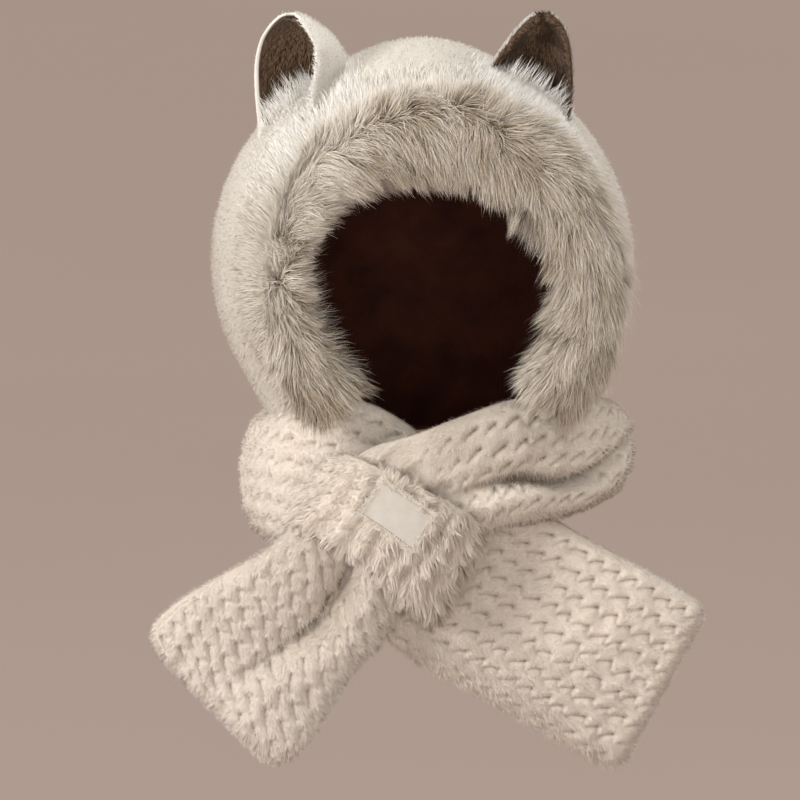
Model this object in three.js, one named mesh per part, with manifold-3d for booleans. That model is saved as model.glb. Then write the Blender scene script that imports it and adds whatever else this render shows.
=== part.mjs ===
// Plush cat-ear hood with a scarf wound once round the neck and pulled through a loop.
// Millimetres, X to the viewer's right, the face opening looks along -Y, Z up.
// The origin is the inner crown of the hood, where it sits on a head.
import Module from "manifold-3d";
import * as THREE from "three";

const wasm = await Module();
wasm.setup();

const GAP = 0.3; // clearance between neighbouring pieces
const FINE = 0.003; // cut solids lose detail below this
const FACET = 0.1; // extra clearance for flat faces
const SLIVER = 0.05; // twice the area of a face too thin to have a sure normal
const RAD = Math.PI / 180;
// The tables of the front give x and the height as seen from VIEW_TILT above level.
const VIEW_TILT = 8 * RAD;

// Hood bowl: a ring at each depth, from the face rim to the back.
const HOOD_WALL = 7;
const HOOD_AROUND = 36;
const CROWN_BUMP = 8.3; // how far the crown seam rises between the ears
const CROWN_BUMP_ANGLE = 19 * RAD;
const hoodRings = [
  // y, radius, centre x, centre z, share of the crown bump
  [-92, 120, 8, -150, 0.3],
  [-84, 127, 7, -150, 0.6],
  [-62, 137, 5, -149, 0.9],
  [-30, 147, 1, -148, 1.0],
  [4, 149, -1, -148, 1.0],
  [36, 141, -2, -148, 0.9],
  [66, 125, -4, -149, 0.7],
  [91, 100, -6, -151, 0.4],
  [108, 70, -7, -153, 0.2],
  [118, 36, -8, -154, 0],
];
const HOOD_BACK_Y = 121;
const HOOD_BACK = { x: -8, z: -154 };
const HOOD_TURN_Y = 20; // behind this the wall turns towards the back
const HOOD_INNER_SHARE = 0.9; // of the wall that lies along the radius on the slanted sides
// Below the cheeks the bowl runs down into the scarf.
const COLLAR = { from: 122 * RAD, to: 152 * RAD, drop: 34, frontY: -92, fullY: -50 };

// Lining: thin cloth just inside the hood.
const LINING_WALL = 2;
const LINING_CLEARANCE = 0.9; // room for the flat faces of the two bowls
const LINING_RIM_SET_BACK = 4;
const LINING_HOLE_SET_BACK = 1.5;
const LINING_AROUND = 24;

// Neck hole through the bottom of the hood, open to the face rim in front.
const NECK_HOLE = { halfX: 82, halfY: 94, x: 2, y: -9, top: -226, bottom: -420, sides: 32 };

// Fur trim: a horseshoe round the face rim, by angle from the top (left is negative).
const TRIM = { x: 11, y: -113, z: -151, radius: 106, depth: 24, around: 8, along: 33 };
const trimRows = [
  // angle, half width, share of full depth, share of the locks' length outwards
  [-141, 16, 0.6, 0.7],
  [-132, 24, 0.85, 0.8],
  [-115, 24, 1, 0.6],
  [-90, 18, 1, 0.45],
  [-60, 24, 1, 0.7],
  [-25, 29, 1, 0.9],
  [0, 30, 1, 0.9],
  [30, 29, 1, 0.9],
  [65, 26, 1, 1],
  [95, 24, 1, 1],
  [118, 24, 1, 0.9],
  [130, 23, 0.85, 0.8],
  [138, 16, 0.6, 0.7],
];
const trimLocks = [
  // angle round the section from the front (outwards is positive), locks, length, lean
  [92, 20, 19, 0.95],
  [40, 16, 22, 1.0],
  [-35, 14, 21, 1.0],
  [-90, 16, 17, 0.9],
];
const LOCK_WIDTH = 28;
const LOCK_THICK = 9;
const LOCK_ROOT = 5; // how deep a lock is rooted
const LOCK_END = 7; // degrees of the horseshoe left bare at each end
const LOCK_SAG = 0.25; // how much the locks at the sides hang down
const LOCK_RISE = 0.25; // how much a lock stands off the surface

// Ears: C-shaped sheets. Each row is a level of the ear from its base to its tip.
const EAR_WALL = 3.6;
const EAR_INNER_WALL = 2.4;
const EAR_INNER_CLEARANCE = 0.9; // room for the flat faces of the two sheets
const EAR_INNER_INSET = 0.035; // of the ear's width, that the shell shows round the fur
const earLeft = {
  y: -42,
  turn: -42 * RAD,
  rows: [
    // height seen from the front, x of the middle of the rims, half width, depth of the C
    [-66, -92, 28, 50],
    [-48, -93, 31, 54],
    [-28, -94, 32.5, 54],
    [-12, -95, 30.5, 52],
    [2, -97, 23, 43],
    [12, -98, 14.5, 31],
    [19, -98, 7.5, 19],
    [22.5, -95, 3, 8],
  ],
};
const earRight = {
  y: -42,
  turn: 6 * RAD,
  rows: [
    [-62, 72, 29, 33],
    [-42, 73, 30.5, 33],
    [-24, 74.5, 30.5, 32],
    [-12, 77, 27, 29],
    [-1, 80.5, 22.5, 25],
    [9, 84, 17, 20],
    [17, 85.5, 11, 13],
    [22, 86, 4.5, 6],
  ],
};
const EAR_LEVELS = 8;
const EAR_ACROSS = 9;
const tufts = {
  // ends of the backing strip seen from the front, its depth, the locks' lean and length
  left: { from: [-110, -67], to: [-68, -33], y: -54, lean: [-0.3, 1], length: 22, locks: 7 },
  right: { from: [48, -23], to: [100, -51], y: -54, lean: [0.1, 1], length: 20, locks: 8 },
};
const TUFT = { radius: 6, width: 8, thick: 4.5, forward: 0.28, spread: 0.4, short: 0.82 };

// Scarf: one band from the tip of the left end, through the loop, over the right shoulder,
// round the back and the left shoulder, under the crossing, to the tip of the right end.
const scarfRows = [
  // upper edge x, height, y, lower edge x, height, y, thickness, crease place, crease depth
  [-186, -424, -127, -103, -511, -126, 21, 0.0, 0],
  [-191, -406, -128, -80, -486, -126, 21, -0.4, 2],
  [-178, -391, -129, -64, -462, -126, 22, -0.4, 4],
  [-164, -381, -130, -52, -441, -126, 24, -0.25, 7],
  [-150, -373, -131, -40, -428, -126, 25, -0.1, 10],
  [-136, -365, -132, -31, -419, -127, 26, 0.0, 12],
  [-121, -357, -133, -25, -410, -128, 26, 0.15, 12],
  [-105, -346, -134, -20, -402, -129, 26, 0.3, 9],
  [-89, -329, -134, -14, -391, -130, 25, 0.3, 5],
  [-73, -309, -133, -4, -380, -130, 24, 0.2, 2],
  [-55, -291, -132, 8, -373, -130, 24, 0.0, 0],
  [-35, -278, -131, 24, -359, -130, 26, 0.0, 0],
  [-6, -269, -128, 38, -347, -130, 28, 0.2, 3],
  [23, -258, -124, 52, -338, -130, 30, 0.3, 8],
  [54, -247, -112, 71, -334, -121, 34, 0.3, 10],
  [86, -241, -92, 92, -331, -103, 38, 0.25, 10],
  [112, -241, -64, 108, -325, -74, 43, 0.2, 8],
  [127, -245, -32, 116, -319, -36, 46, 0.15, 6],
  [130, -246, 6, 116, -317, 6, 46, 0.1, 4],
  [121, -244, 44, 110, -314, 46, 42, 0.0, 2],
  [94, -239, 80, 88, -311, 84, 38, 0.0, 0],
  [52, -235, 105, 50, -310, 109, 36, 0.0, 0],
  [4, -234, 114, 4, -311, 118, 36, 0.0, 0],
  [-44, -236, 105, -44, -314, 109, 36, 0.0, 0],
  [-82, -241, 79, -82, -321, 82, 37, 0.0, 0],
  [-102, -248, 44, -105, -331, 45, 39, 0.0, 0],
  [-107, -255, 6, -110, -340, 4, 40, 0.0, 0],
  [-99, -252, -30, -106, -346, -32, 38, 0.0, 0],
  [-86, -248, -57, -97, -354, -60, 33, 0.0, 0],
  [-64, -246, -76, -83, -365, -77, 28, 0.0, 0],
  [-38, -247, -86, -65, -379, -87, 24, 0.0, 0],
  [-10, -262, -91, -46, -396, -92, 22, 0.0, 0],
  [20, -285, -94, -31, -411, -95, 21, 0.0, 0],
  [50, -304, -97, -17, -424, -97, 21, 0.0, 0],
  [78, -320, -98, 10, -440, -98, 21, 0.0, 0],
  [106, -336, -98, 39, -455, -98, 21, 0.0, 0],
  [143, -357, -98, 75, -476, -98, 21, 0.0, 0],
  [170, -372, -98, 103, -492, -98, 21, 0.0, 0],
  [204, -392, -98, 138, -511, -98, 21, 0.0, 0],
];
const LEFT_END_ROW = 9.2; // row at which the left end passes into the wrap, under the loop
const RIGHT_END_ROW = 32.2; // row at which the wrap passes into the right end
const CREASE_WIDTH = 0.2; // of the half width
const WEAVE_PITCH = 13.6;
const WEAVE_DEPTH = 3;
const CORNER_RADIUS = 15;
const END_ROUND = 10;
const END_STEPS = [0.15, 2.4]; // rings that close a rounded end, from its tip

// Loop: a plush strap in an arch over the crossing band, its feet on the band below.
const strapRows = [
  // upper edge x, height, y, lower edge x, height, y, thickness, crease place, crease depth
  [-51, -287, -112, -92, -338, -113, 11, 0, 0],
  [-54, -284, -126, -94, -336, -127, 14, 0, 0],
  [-48, -284, -142, -87, -339, -143, 15, 0, 0],
  [-31, -291, -152, -70, -348, -152, 15, 0, 0],
  [-8, -302, -155, -46, -362, -155, 15, 0, 0],
  [17, -315, -154, -23, -378, -154, 15, 0, 0],
  [34, -324, -147, -7, -392, -148, 15, 0, 0],
  [42, -331, -133, 4, -399, -134, 14, 0, 0],
  [41, -331, -116, 3, -399, -117, 11, 0, 0],
];
const label = {
  // rows of the strap, places across it, distance from its face
  from: 3.05,
  to: 4.25,
  upper: -0.66,
  lower: 0.1,
  clear: 0.9,
  wall: 1.2,
  along: 6,
  across: 4,
};

const colours = {
  hood: 0xebe4da,
  lining: 0x26120a,
  trim: 0xbeaf96,
  earInner: 0x5f4837,
  tuft: 0xf0ece4,
  scarf: 0xd6c8b8,
  label: 0xded8cd,
};

// A point seen at (x, height) from the front, at depth y.
function seen(x, height, y) {
  const z = (height - y * Math.sin(VIEW_TILT)) / Math.cos(VIEW_TILT);
  return new THREE.Vector3(x, y, z);
}

// A smooth curve through the rows of a table, at the fractional row place.
function rowAt(table, place) {
  const last = table.length - 1;
  const i = Math.min(Math.floor(place), last - 1);
  const t = place - i;
  const pick = (k) => table[Math.max(0, Math.min(last, k))];
  return pick(i).map((b, c) => {
    const a = pick(i - 1)[c];
    const d = pick(i + 1)[c];
    const e = pick(i + 2)[c];
    const curve = (3 * b - 3 * d + e - a) * t + (2 * a - 5 * b + 4 * d - e);
    return 0.5 * (2 * b + (d - a) * t + curve * t * t);
  });
}

function meshOf(points, faces) {
  const geometry = new THREE.BufferGeometry();
  const positions = points.flatMap((p) => [p.x, p.y, p.z]);
  geometry.setAttribute("position", new THREE.Float32BufferAttribute(positions, 3));
  geometry.setIndex(faces);
  return outward(geometry);
}

function outward(geometry) {
  const at = geometry.getAttribute("position").array;
  const index = geometry.getIndex().array;
  const corner = (i) => new THREE.Vector3(at[3 * i], at[3 * i + 1], at[3 * i + 2]);
  let volume = 0;
  for (let i = 0; i < index.length; i += 3) {
    const a = corner(index[i]);
    volume += a.dot(corner(index[i + 1]).cross(corner(index[i + 2])));
  }
  if (volume < 0) {
    for (let i = 0; i < index.length; i += 3) {
      const kept = index[i];
      index[i] = index[i + 1];
      index[i + 1] = kept;
    }
  }
  return geometry;
}

// Closed solid through equal rings of points, with a fan over each end, or up to a tip.
function tubeOf(rings, tip) {
  const n = rings[0].length;
  const points = rings.flat();
  const faces = [];
  for (let i = 0; i < rings.length - 1; i++) {
    for (let k = 0; k < n; k++) {
      const a = i * n + k;
      const b = i * n + ((k + 1) % n);
      if ((i + k) % 2) {
        faces.push(a, b, b + n, a, b + n, a + n);
      } else {
        faces.push(a, b, a + n, b, b + n, a + n);
      }
    }
  }
  const middle = (ring) => {
    const sum = ring.reduce((total, p) => total.add(p), new THREE.Vector3());
    return sum.divideScalar(n);
  };
  const first = points.length;
  points.push(middle(rings[0]), tip ?? middle(rings[rings.length - 1]));
  const start = (rings.length - 1) * n;
  for (let k = 0; k < n; k++) {
    const next = (k + 1) % n;
    faces.push(first, next, k);
    faces.push(first + 1, start + k, start + next);
  }
  return meshOf(points, faces);
}

// Closed sheet over a grid: face(u, v) is its surface and the wall lies along its normal.
function sheetOf(face, nu, nv, from, to) {
  const step = 1e-3;
  const at = (u, v, off) => {
    const p = face(u, v);
    const du = face(u + step, v).sub(p);
    const dv = face(u, v + step).sub(p);
    return p.add(du.cross(dv).normalize().multiplyScalar(off));
  };
  const points = [];
  for (const off of [from, to]) {
    for (let i = 0; i <= nu; i++) {
      for (let k = 0; k <= nv; k++) {
        points.push(at(i / nu, k / nv, off));
      }
    }
  }
  const side = (nu + 1) * (nv + 1);
  const id = (i, k) => i * (nv + 1) + k;
  const faces = [];
  for (let i = 0; i < nu; i++) {
    for (let k = 0; k < nv; k++) {
      const [a, b, c, d] = [id(i, k), id(i + 1, k), id(i + 1, k + 1), id(i, k + 1)];
      faces.push(a, b, c, a, c, d);
      faces.push(a + side, c + side, b + side, a + side, d + side, c + side);
    }
  }
  const rim = [];
  for (let i = 0; i < nu; i++) {
    rim.push(id(i, 0));
  }
  for (let k = 0; k < nv; k++) {
    rim.push(id(nu, k));
  }
  for (let i = nu; i > 0; i--) {
    rim.push(id(i, nv));
  }
  for (let k = nv; k > 0; k--) {
    rim.push(id(0, k));
  }
  rim.forEach((a, j) => {
    const b = rim[(j + 1) % rim.length];
    faces.push(a, a + side, b, b, a + side, b + side);
  });
  return meshOf(points, faces);
}

function solidOf(geometry) {
  const vertProperties = new Float32Array(geometry.getAttribute("position").array);
  const triVerts = new Uint32Array(geometry.getIndex().array);
  return new wasm.Manifold(new wasm.Mesh({ numProp: 3, vertProperties, triVerts }));
}

function geometryOf(solid) {
  const mesh = solid.simplify(FINE).getMesh();
  const points = [];
  for (let i = 0; i < mesh.vertProperties.length; i += 3) {
    points.push(new THREE.Vector3(...mesh.vertProperties.slice(i, i + 3)));
  }
  return meshOf(points, Array.from(mesh.triVerts));
}

// The geometry with its faces moved out by the clearance.
function grown(geometry, by) {
  const copy = geometry.clone();
  const at = copy.getAttribute("position");
  const index = copy.getIndex().array;
  const corner = (i) => new THREE.Vector3().fromBufferAttribute(at, i);
  const sums = Array.from({ length: at.count }, () => new THREE.Vector3());
  const around = Array.from({ length: at.count }, () => []);
  for (let i = 0; i < index.length; i += 3) {
    const a = corner(index[i]);
    const face = corner(index[i + 1]).sub(a).cross(corner(index[i + 2]).sub(a));
    const normal = face.clone().normalize();
    for (let k = 0; k < 3; k++) {
      if (face.length() > SLIVER) {
        sums[index[i + k]].add(normal);
        around[index[i + k]].push(normal);
      }
    }
  }
  sums.forEach((sum, i) => {
    const way = sum.normalize();
    const least = Math.min(1, ...around[i].map((normal) => normal.dot(way)));
    const p = corner(i).addScaledVector(way, by / Math.max(0.3, least));
    at.setXYZ(i, p.x, p.y, p.z);
  });
  return copy;
}

// Forms made wider from their own dimensions, by the geometry that they stand for.
const widerForms = new Map();

// What is left of a piece outside its neighbours, keeping its largest body.
function clearOf(geometry, neighbours) {
  let solid = solidOf(geometry);
  for (const neighbour of neighbours) {
    const wider = widerForms.get(neighbour) ?? grown(neighbour, GAP + FACET);
    solid = solid.subtract(solidOf(wider)).subtract(solidOf(neighbour));
  }
  const bodies = solid.decompose();
  bodies.sort((a, b) => b.volume() - a.volume());
  return geometryOf(bodies[0]);
}

function joined(pieces) {
  return geometryOf(wasm.Manifold.union(pieces.map(solidOf)));
}

// One bowl between two offsets from the hood's outer face.
function bowl(outer, inner, around, rimY) {
  const ring = (row, off) => {
    const [y, radius, cx, cz, bump] = row;
    const points = [];
    for (let k = 0; k < around; k++) {
      const turn = (2 * Math.PI * k) / around;
      const near = turn > Math.PI ? turn - 2 * Math.PI : turn;
      const rise = CROWN_BUMP * bump * Math.exp(-((near / CROWN_BUMP_ANGLE) ** 2));
      const r = radius + rise - off;
      const low = THREE.MathUtils.smoothstep(Math.abs(near), COLLAR.from, COLLAR.to);
      const drop = COLLAR.drop * low * THREE.MathUtils.smoothstep(y, COLLAR.frontY, COLLAR.fullY);
      const z = cz + r * Math.cos(turn) - drop;
      points.push(new THREE.Vector3(cx + r * Math.sin(turn), y, z));
    }
    return points;
  };
  const back = HOOD_BACK_Y;
  const rows = hoodRings.map((row) => [...row]);
  rows[0][0] = rimY;
  // Towards the back the wall's thickness lies along Y.
  const inset = (row, off) => {
    const along = Math.max(0, (row[0] - HOOD_TURN_Y) / (back - HOOD_TURN_Y)) ** 2;
    return [row[0] - off * along, ...row.slice(1)];
  };
  const outerRings = rows.map((row) => ring(inset(row, outer), outer));
  const innerRings = rows.map((row) => ring(inset(row, inner), inner * HOOD_INNER_SHARE));
  const points = [...outerRings.flat(), ...innerRings.flat()];
  const rings = rows.length;
  const faces = [];
  const quad = (a, b, c, d) => faces.push(a, b, c, a, c, d);
  for (let i = 0; i < rings - 1; i++) {
    for (let k = 0; k < around; k++) {
      const a = i * around + k;
      const b = i * around + ((k + 1) % around);
      const shift = rings * around;
      quad(a, b, b + around, a + around);
      quad(a + shift, a + shift + around, b + shift + around, b + shift);
    }
  }
  const outerPole = points.length;
  points.push(new THREE.Vector3(HOOD_BACK.x, back - outer, HOOD_BACK.z));
  points.push(new THREE.Vector3(HOOD_BACK.x, back - inner, HOOD_BACK.z));
  for (let k = 0; k < around; k++) {
    const next = (k + 1) % around;
    const top = (rings - 1) * around;
    const shift = rings * around;
    faces.push(outerPole, top + k, top + next);
    faces.push(outerPole + 1, shift + top + next, shift + top + k);
    quad(k, k + shift, next + shift, next);
  }
  return meshOf(points, faces);
}

function neckCutter(extra) {
  const rings = [NECK_HOLE.top, NECK_HOLE.bottom].map((z) => {
    const points = [];
    for (let k = 0; k < NECK_HOLE.sides; k++) {
      const turn = (2 * Math.PI * k) / NECK_HOLE.sides;
      const x = NECK_HOLE.x + (NECK_HOLE.halfX + extra) * Math.cos(turn);
      const y = NECK_HOLE.y + (NECK_HOLE.halfY + extra) * Math.sin(turn);
      points.push(new THREE.Vector3(x, y, z));
    }
    return points;
  });
  return tubeOf(rings);
}

function cut(geometry, cutter) {
  return geometryOf(solidOf(geometry).subtract(solidOf(cutter)));
}

// A tapered lock of fur from base along direction, flat across side.
function lockOf(base, direction, side, length, width, thick) {
  const along = direction.clone().normalize();
  const across = side.clone().addScaledVector(along, -side.dot(along)).normalize();
  const up = new THREE.Vector3().crossVectors(along, across);
  const levels = [
    // share of the length, share of the width
    [-0.25, 0.9],
    [0.3, 0.8],
  ];
  const rings = levels.map(([place, size]) => {
    const points = [];
    for (let k = 0; k < 4; k++) {
      const turn = (Math.PI / 2) * k;
      const p = base.clone().addScaledVector(along, place * length);
      p.addScaledVector(across, Math.cos(turn) * width * size * 0.5);
      p.addScaledVector(up, Math.sin(turn) * thick * size * 0.5);
      points.push(p);
    }
    return points;
  });
  return tubeOf(rings, base.clone().addScaledVector(along, length));
}

function trimFrame(angle) {
  const table = trimRows;
  let place = 0;
  while (place < table.length - 2 && angle > table[place + 1][0]) {
    place += 1;
  }
  const share = (angle - table[place][0]) / (table[place + 1][0] - table[place][0]);
  const row = rowAt(table, place + Math.min(1, Math.max(0, share)));
  const out = new THREE.Vector3(Math.sin(angle * RAD), 0, Math.cos(angle * RAD));
  const centre = new THREE.Vector3(TRIM.x, TRIM.y, TRIM.z).addScaledVector(out, TRIM.radius);
  const tangent = new THREE.Vector3(Math.cos(angle * RAD), 0, -Math.sin(angle * RAD));
  return { centre, out, tangent, half: row[1], depth: TRIM.depth * row[2], outer: row[3] };
}

function trimPoint(frame, turn) {
  return frame.centre
    .clone()
    .addScaledVector(frame.out, frame.half * Math.sin(turn))
    .addScaledVector(new THREE.Vector3(0, -1, 0), frame.depth * Math.cos(turn));
}

function makeTrim(neighbours) {
  const first = trimRows[0][0];
  const last = trimRows[trimRows.length - 1][0];
  const rings = [];
  for (let i = 0; i <= TRIM.along; i++) {
    const frame = trimFrame(first + ((last - first) * i) / TRIM.along);
    const points = [];
    for (let k = 0; k < TRIM.around; k++) {
      points.push(trimPoint(frame, (2 * Math.PI * k) / TRIM.around));
    }
    rings.push(points);
  }
  const pieces = [tubeOf(rings)];
  trimLocks.forEach(([section, count, length, lean], row) => {
    for (let i = 0; i < count; i++) {
      const share = (i + 0.5 + (row % 2 ? 0.25 : -0.2)) / count;
      const frame = trimFrame(first + LOCK_END + (last - first - 2 * LOCK_END) * share);
      const turn = section * RAD;
      const base = trimPoint(frame, turn);
      const away = base.clone().sub(frame.centre).normalize();
      const flow = new THREE.Vector3(0, 0, -LOCK_SAG * Math.abs(frame.out.x));
      const sideways = frame.out.clone().multiplyScalar(Math.sign(section) * lean);
      const direction = sideways.add(flow).addScaledVector(away, LOCK_RISE);
      const uneven = 0.88 + 0.06 * ((i * 7 + row * 3) % 5);
      const size = length * uneven * (section > 60 ? frame.outer : 1);
      base.addScaledVector(away, -LOCK_ROOT);
      pieces.push(lockOf(base, direction, frame.tangent, size, LOCK_WIDTH, LOCK_THICK));
    }
  });
  return clearOf(joined(pieces), neighbours);
}

// A point of an ear's sheet: level from base to tip, across from rim to rim.
function earPoint(ear, level, across) {
  const rows = ear.rows;
  const [height, x, half, depth] = rowAt(rows, level * (rows.length - 1));
  const bend = (across - 0.5) * Math.PI;
  const local = new THREE.Vector2(half * Math.sin(bend), depth * Math.cos(bend));
  local.rotateAround(new THREE.Vector2(0, 0), ear.turn);
  const foot = seen(x, height, ear.y);
  return new THREE.Vector3(foot.x + local.x, ear.y + local.y, foot.z);
}

function makeEar(ear, neighbours) {
  const face = (u, v) => earPoint(ear, u, v);
  const shell = sheetOf(face, EAR_LEVELS, EAR_ACROSS, 0, -EAR_WALL);
  return clearOf(shell, neighbours);
}

function makeEarInner(ear, neighbours) {
  const inset = EAR_INNER_INSET;
  const face = (u, v) => earPoint(ear, u * (1 - 2 * inset), inset + (1 - 2 * inset) * v);
  const from = EAR_INNER_CLEARANCE;
  const sheet = sheetOf(face, EAR_LEVELS, EAR_ACROSS, from, from + EAR_INNER_WALL);
  return clearOf(sheet, neighbours);
}

function makeTuft(tuft, neighbours) {
  const a = seen(...tuft.from, tuft.y);
  const b = seen(...tuft.to, tuft.y);
  const rings = [0, 0.12, 0.5, 0.88, 1].map((share) => {
    const centre = a.clone().lerp(b, share);
    const r = TUFT.radius * (0.45 + 0.55 * Math.sin(Math.PI * share));
    const points = [];
    for (let k = 0; k < 8; k++) {
      const turn = (Math.PI / 4) * k;
      const p = centre.clone();
      p.y += r * Math.cos(turn);
      p.z += r * Math.sin(turn);
      points.push(p);
    }
    return points;
  });
  const pieces = [tubeOf(rings)];
  const along = b.clone().sub(a);
  for (let i = 0; i < tuft.locks; i++) {
    const share = (i + 0.5) / tuft.locks;
    const base = a.clone().lerp(b, share);
    const fan = (share - 0.5) * TUFT.spread;
    const direction = new THREE.Vector3(tuft.lean[0] + fan, -TUFT.forward, tuft.lean[1]);
    const size = tuft.length * (i % 2 ? 1 : TUFT.short);
    pieces.push(lockOf(base, direction, along, size, TUFT.width, TUFT.thick));
  }
  return clearOf(joined(pieces), neighbours);
}

// A point of a band: s runs from -1 on its upper edge to 1 on its lower edge.
function bandFrame(table, place) {
  const row = rowAt(table, place);
  const step = 0.02;
  const last = table.length - 1;
  const before = rowAt(table, Math.max(0, place - step));
  const after = rowAt(table, Math.min(last, place + step));
  const middle = (r) => seen(...r.slice(0, 3)).add(seen(...r.slice(3, 6))).multiplyScalar(0.5);
  const tangent = middle(after).sub(middle(before)).normalize();
  const upper = seen(...row.slice(0, 3));
  const lower = seen(...row.slice(3, 6));
  const across = lower.clone().sub(upper);
  const normal = across.clone().cross(tangent).normalize();
  const centre = upper.clone().add(lower).multiplyScalar(0.5);
  return { centre, across, normal, tangent, thick: row[6], creaseAt: row[7], creaseDeep: row[8] };
}

function bandPoint(frame, s, side, roundness, off = 0) {
  const bulge = Math.sqrt(Math.max(0, 1 - Math.abs(s) ** roundness));
  let high = (frame.thick / 2) * bulge;
  if (side > 0) {
    const away = (s - frame.creaseAt) / CREASE_WIDTH;
    high -= frame.creaseDeep * Math.exp(-away * away) * bulge;
  }
  return frame.centre
    .clone()
    .addScaledVector(frame.across, s / 2)
    .addScaledVector(frame.normal, side * (high + off));
}

// Part of a band between two places of its table, in steps of about one length.
function makeBand(table, from, to, spec) {
  let length = 0;
  const fine = 400;
  const places = [[from, 0]];
  for (let i = 1; i <= fine; i++) {
    const a = bandFrame(table, from + ((to - from) * (i - 1)) / fine).centre;
    const place = from + ((to - from) * i) / fine;
    length += bandFrame(table, place).centre.distanceTo(a);
    places.push([place, length]);
  }
  const steps = Math.round(length / spec.step);
  const placeOf = (distance) => places.find((p) => p[1] >= distance - 1e-6)[0];
  const distances = [];
  for (let i = 0; i <= steps; i++) {
    distances.push((length * i) / steps);
  }
  if (spec.roundFrom) {
    distances.splice(0, 1, ...END_STEPS);
  }
  if (spec.roundTo) {
    distances.splice(-1, 1, ...END_STEPS.map((d) => length - d).reverse());
  }
  const rings = distances.map((distance, i) => {
    const frame = bandFrame(table, placeOf(distance));
    const half = frame.across.length() / 2;
    const toEnd = Math.min(spec.roundFrom ? distance : 999, spec.roundTo ? length - distance : 999);
    const short = Math.max(0, 1 - toEnd / CORNER_RADIUS);
    const inset = CORNER_RADIUS * (1 - Math.sqrt(1 - short * short));
    const blunt = Math.max(0, 1 - toEnd / END_ROUND);
    frame.across.multiplyScalar((half - inset) / half);
    frame.thick *= Math.sqrt(1 - blunt * blunt);
    const point = (s, side, k) => {
      const edge = Math.sqrt(1 - s * s) * (toEnd < CORNER_RADIUS ? 0 : 1);
      const up = (i + k) % 2 ? 0.5 : -0.5;
      return bandPoint(frame, s, side, spec.roundness, side > 0 ? up * spec.weave * edge : 0);
    };
    const ring = [];
    for (let k = 0; k < spec.front; k++) {
      ring.push(point(spread(k / spec.front, spec.even), 1, k));
    }
    for (let k = 0; k < spec.back; k++) {
      ring.push(point(-spread(k / spec.back, spec.even), -1, k));
    }
    return ring;
  });
  return tubeOf(rings);
}

// From -1 to 1: evenly, or closer towards the edges.
function spread(share, even) {
  const flat = 2 * share - 1;
  return even * flat + (1 - even) * Math.sin((flat * Math.PI) / 2);
}

function addPiece(group, name, geometry, colour) {
  const soft = geometry.clone();
  soft.computeVertexNormals();
  const material = new THREE.MeshStandardMaterial({ color: colour, roughness: 0.95, metalness: 0 });
  material.name = name;
  const mesh = new THREE.Mesh(soft, material);
  mesh.name = name;
  group.add(mesh);
}

// The hood or its lining, each face moved out by a clearance.
function shellOf(outer, inner, around, rimY, hole, by) {
  return cut(bowl(outer - by, inner + by, around, rimY - by), neckCutter(hole - by));
}

const wide = GAP + FACET;
const hoodForm = [0, HOOD_WALL, HOOD_AROUND, hoodRings[0][0], 0];
const hood = shellOf(...hoodForm, 0);
widerForms.set(hood, shellOf(...hoodForm, wide));
const liningIn = HOOD_WALL + LINING_CLEARANCE;
const liningRim = hoodRings[0][0] + LINING_RIM_SET_BACK;
const liningOut = liningIn + LINING_WALL;
const liningForm = [liningIn, liningOut, LINING_AROUND, liningRim, LINING_HOLE_SET_BACK];
const lining = clearOf(shellOf(...liningForm, 0), [hood]);
widerForms.set(lining, shellOf(...liningForm, wide));

const endSpec = { step: WEAVE_PITCH / 2, roundness: 7, weave: WEAVE_DEPTH, even: 0.85, back: 6 };
const lastRow = scarfRows.length - 1;
const cutGap = 0.02; // of a row, where two lengths of the scarf meet
const scarfLeft = makeBand(scarfRows, 0, LEFT_END_ROW - cutGap, {
  ...endSpec,
  front: 16,
  roundFrom: true,
});
const wrapSpec = { step: 24, roundness: 2.6, weave: 0, even: 0.5, front: 8, back: 5 };
const wrapBand = makeBand(scarfRows, LEFT_END_ROW, RIGHT_END_ROW, wrapSpec);
const rightBand = makeBand(scarfRows, RIGHT_END_ROW + cutGap, lastRow, {
  ...endSpec,
  front: 18,
  roundTo: true,
});
const scarfWrap = clearOf(wrapBand, [hood, lining]);
const scarfRight = clearOf(rightBand, [scarfWrap, scarfLeft]);
const strapSpec = { step: 13, roundness: 6, weave: 0, even: 0.7, front: 7, back: 4 };
const strapBand = makeBand(strapRows, 0, strapRows.length - 1, strapSpec);
const strap = clearOf(strapBand, [scarfWrap, scarfLeft, scarfRight]);

const trim = makeTrim([hood, lining, scarfWrap]);
const earLeftOuter = makeEar(earLeft, [hood, trim]);
const earRightOuter = makeEar(earRight, [hood, trim]);
const earLeftInner = makeEarInner(earLeft, [hood, trim, earLeftOuter]);
const earRightInner = makeEarInner(earRight, [hood, trim, earRightOuter]);
const tuftLeft = makeTuft(tufts.left, [hood, trim, earLeftOuter, earLeftInner]);
const tuftRight = makeTuft(tufts.right, [hood, trim, earRightOuter, earRightInner]);

const labelFace = (u, v) => {
  const frame = bandFrame(strapRows, label.from + (label.to - label.from) * u);
  const s = label.upper + (label.lower - label.upper) * v;
  return bandPoint(frame, s, 1, strapSpec.roundness, label.clear);
};
const labelSheet = sheetOf(labelFace, label.along, label.across, 0, -label.wall);
const labelPiece = clearOf(labelSheet, [strap]);

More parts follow.
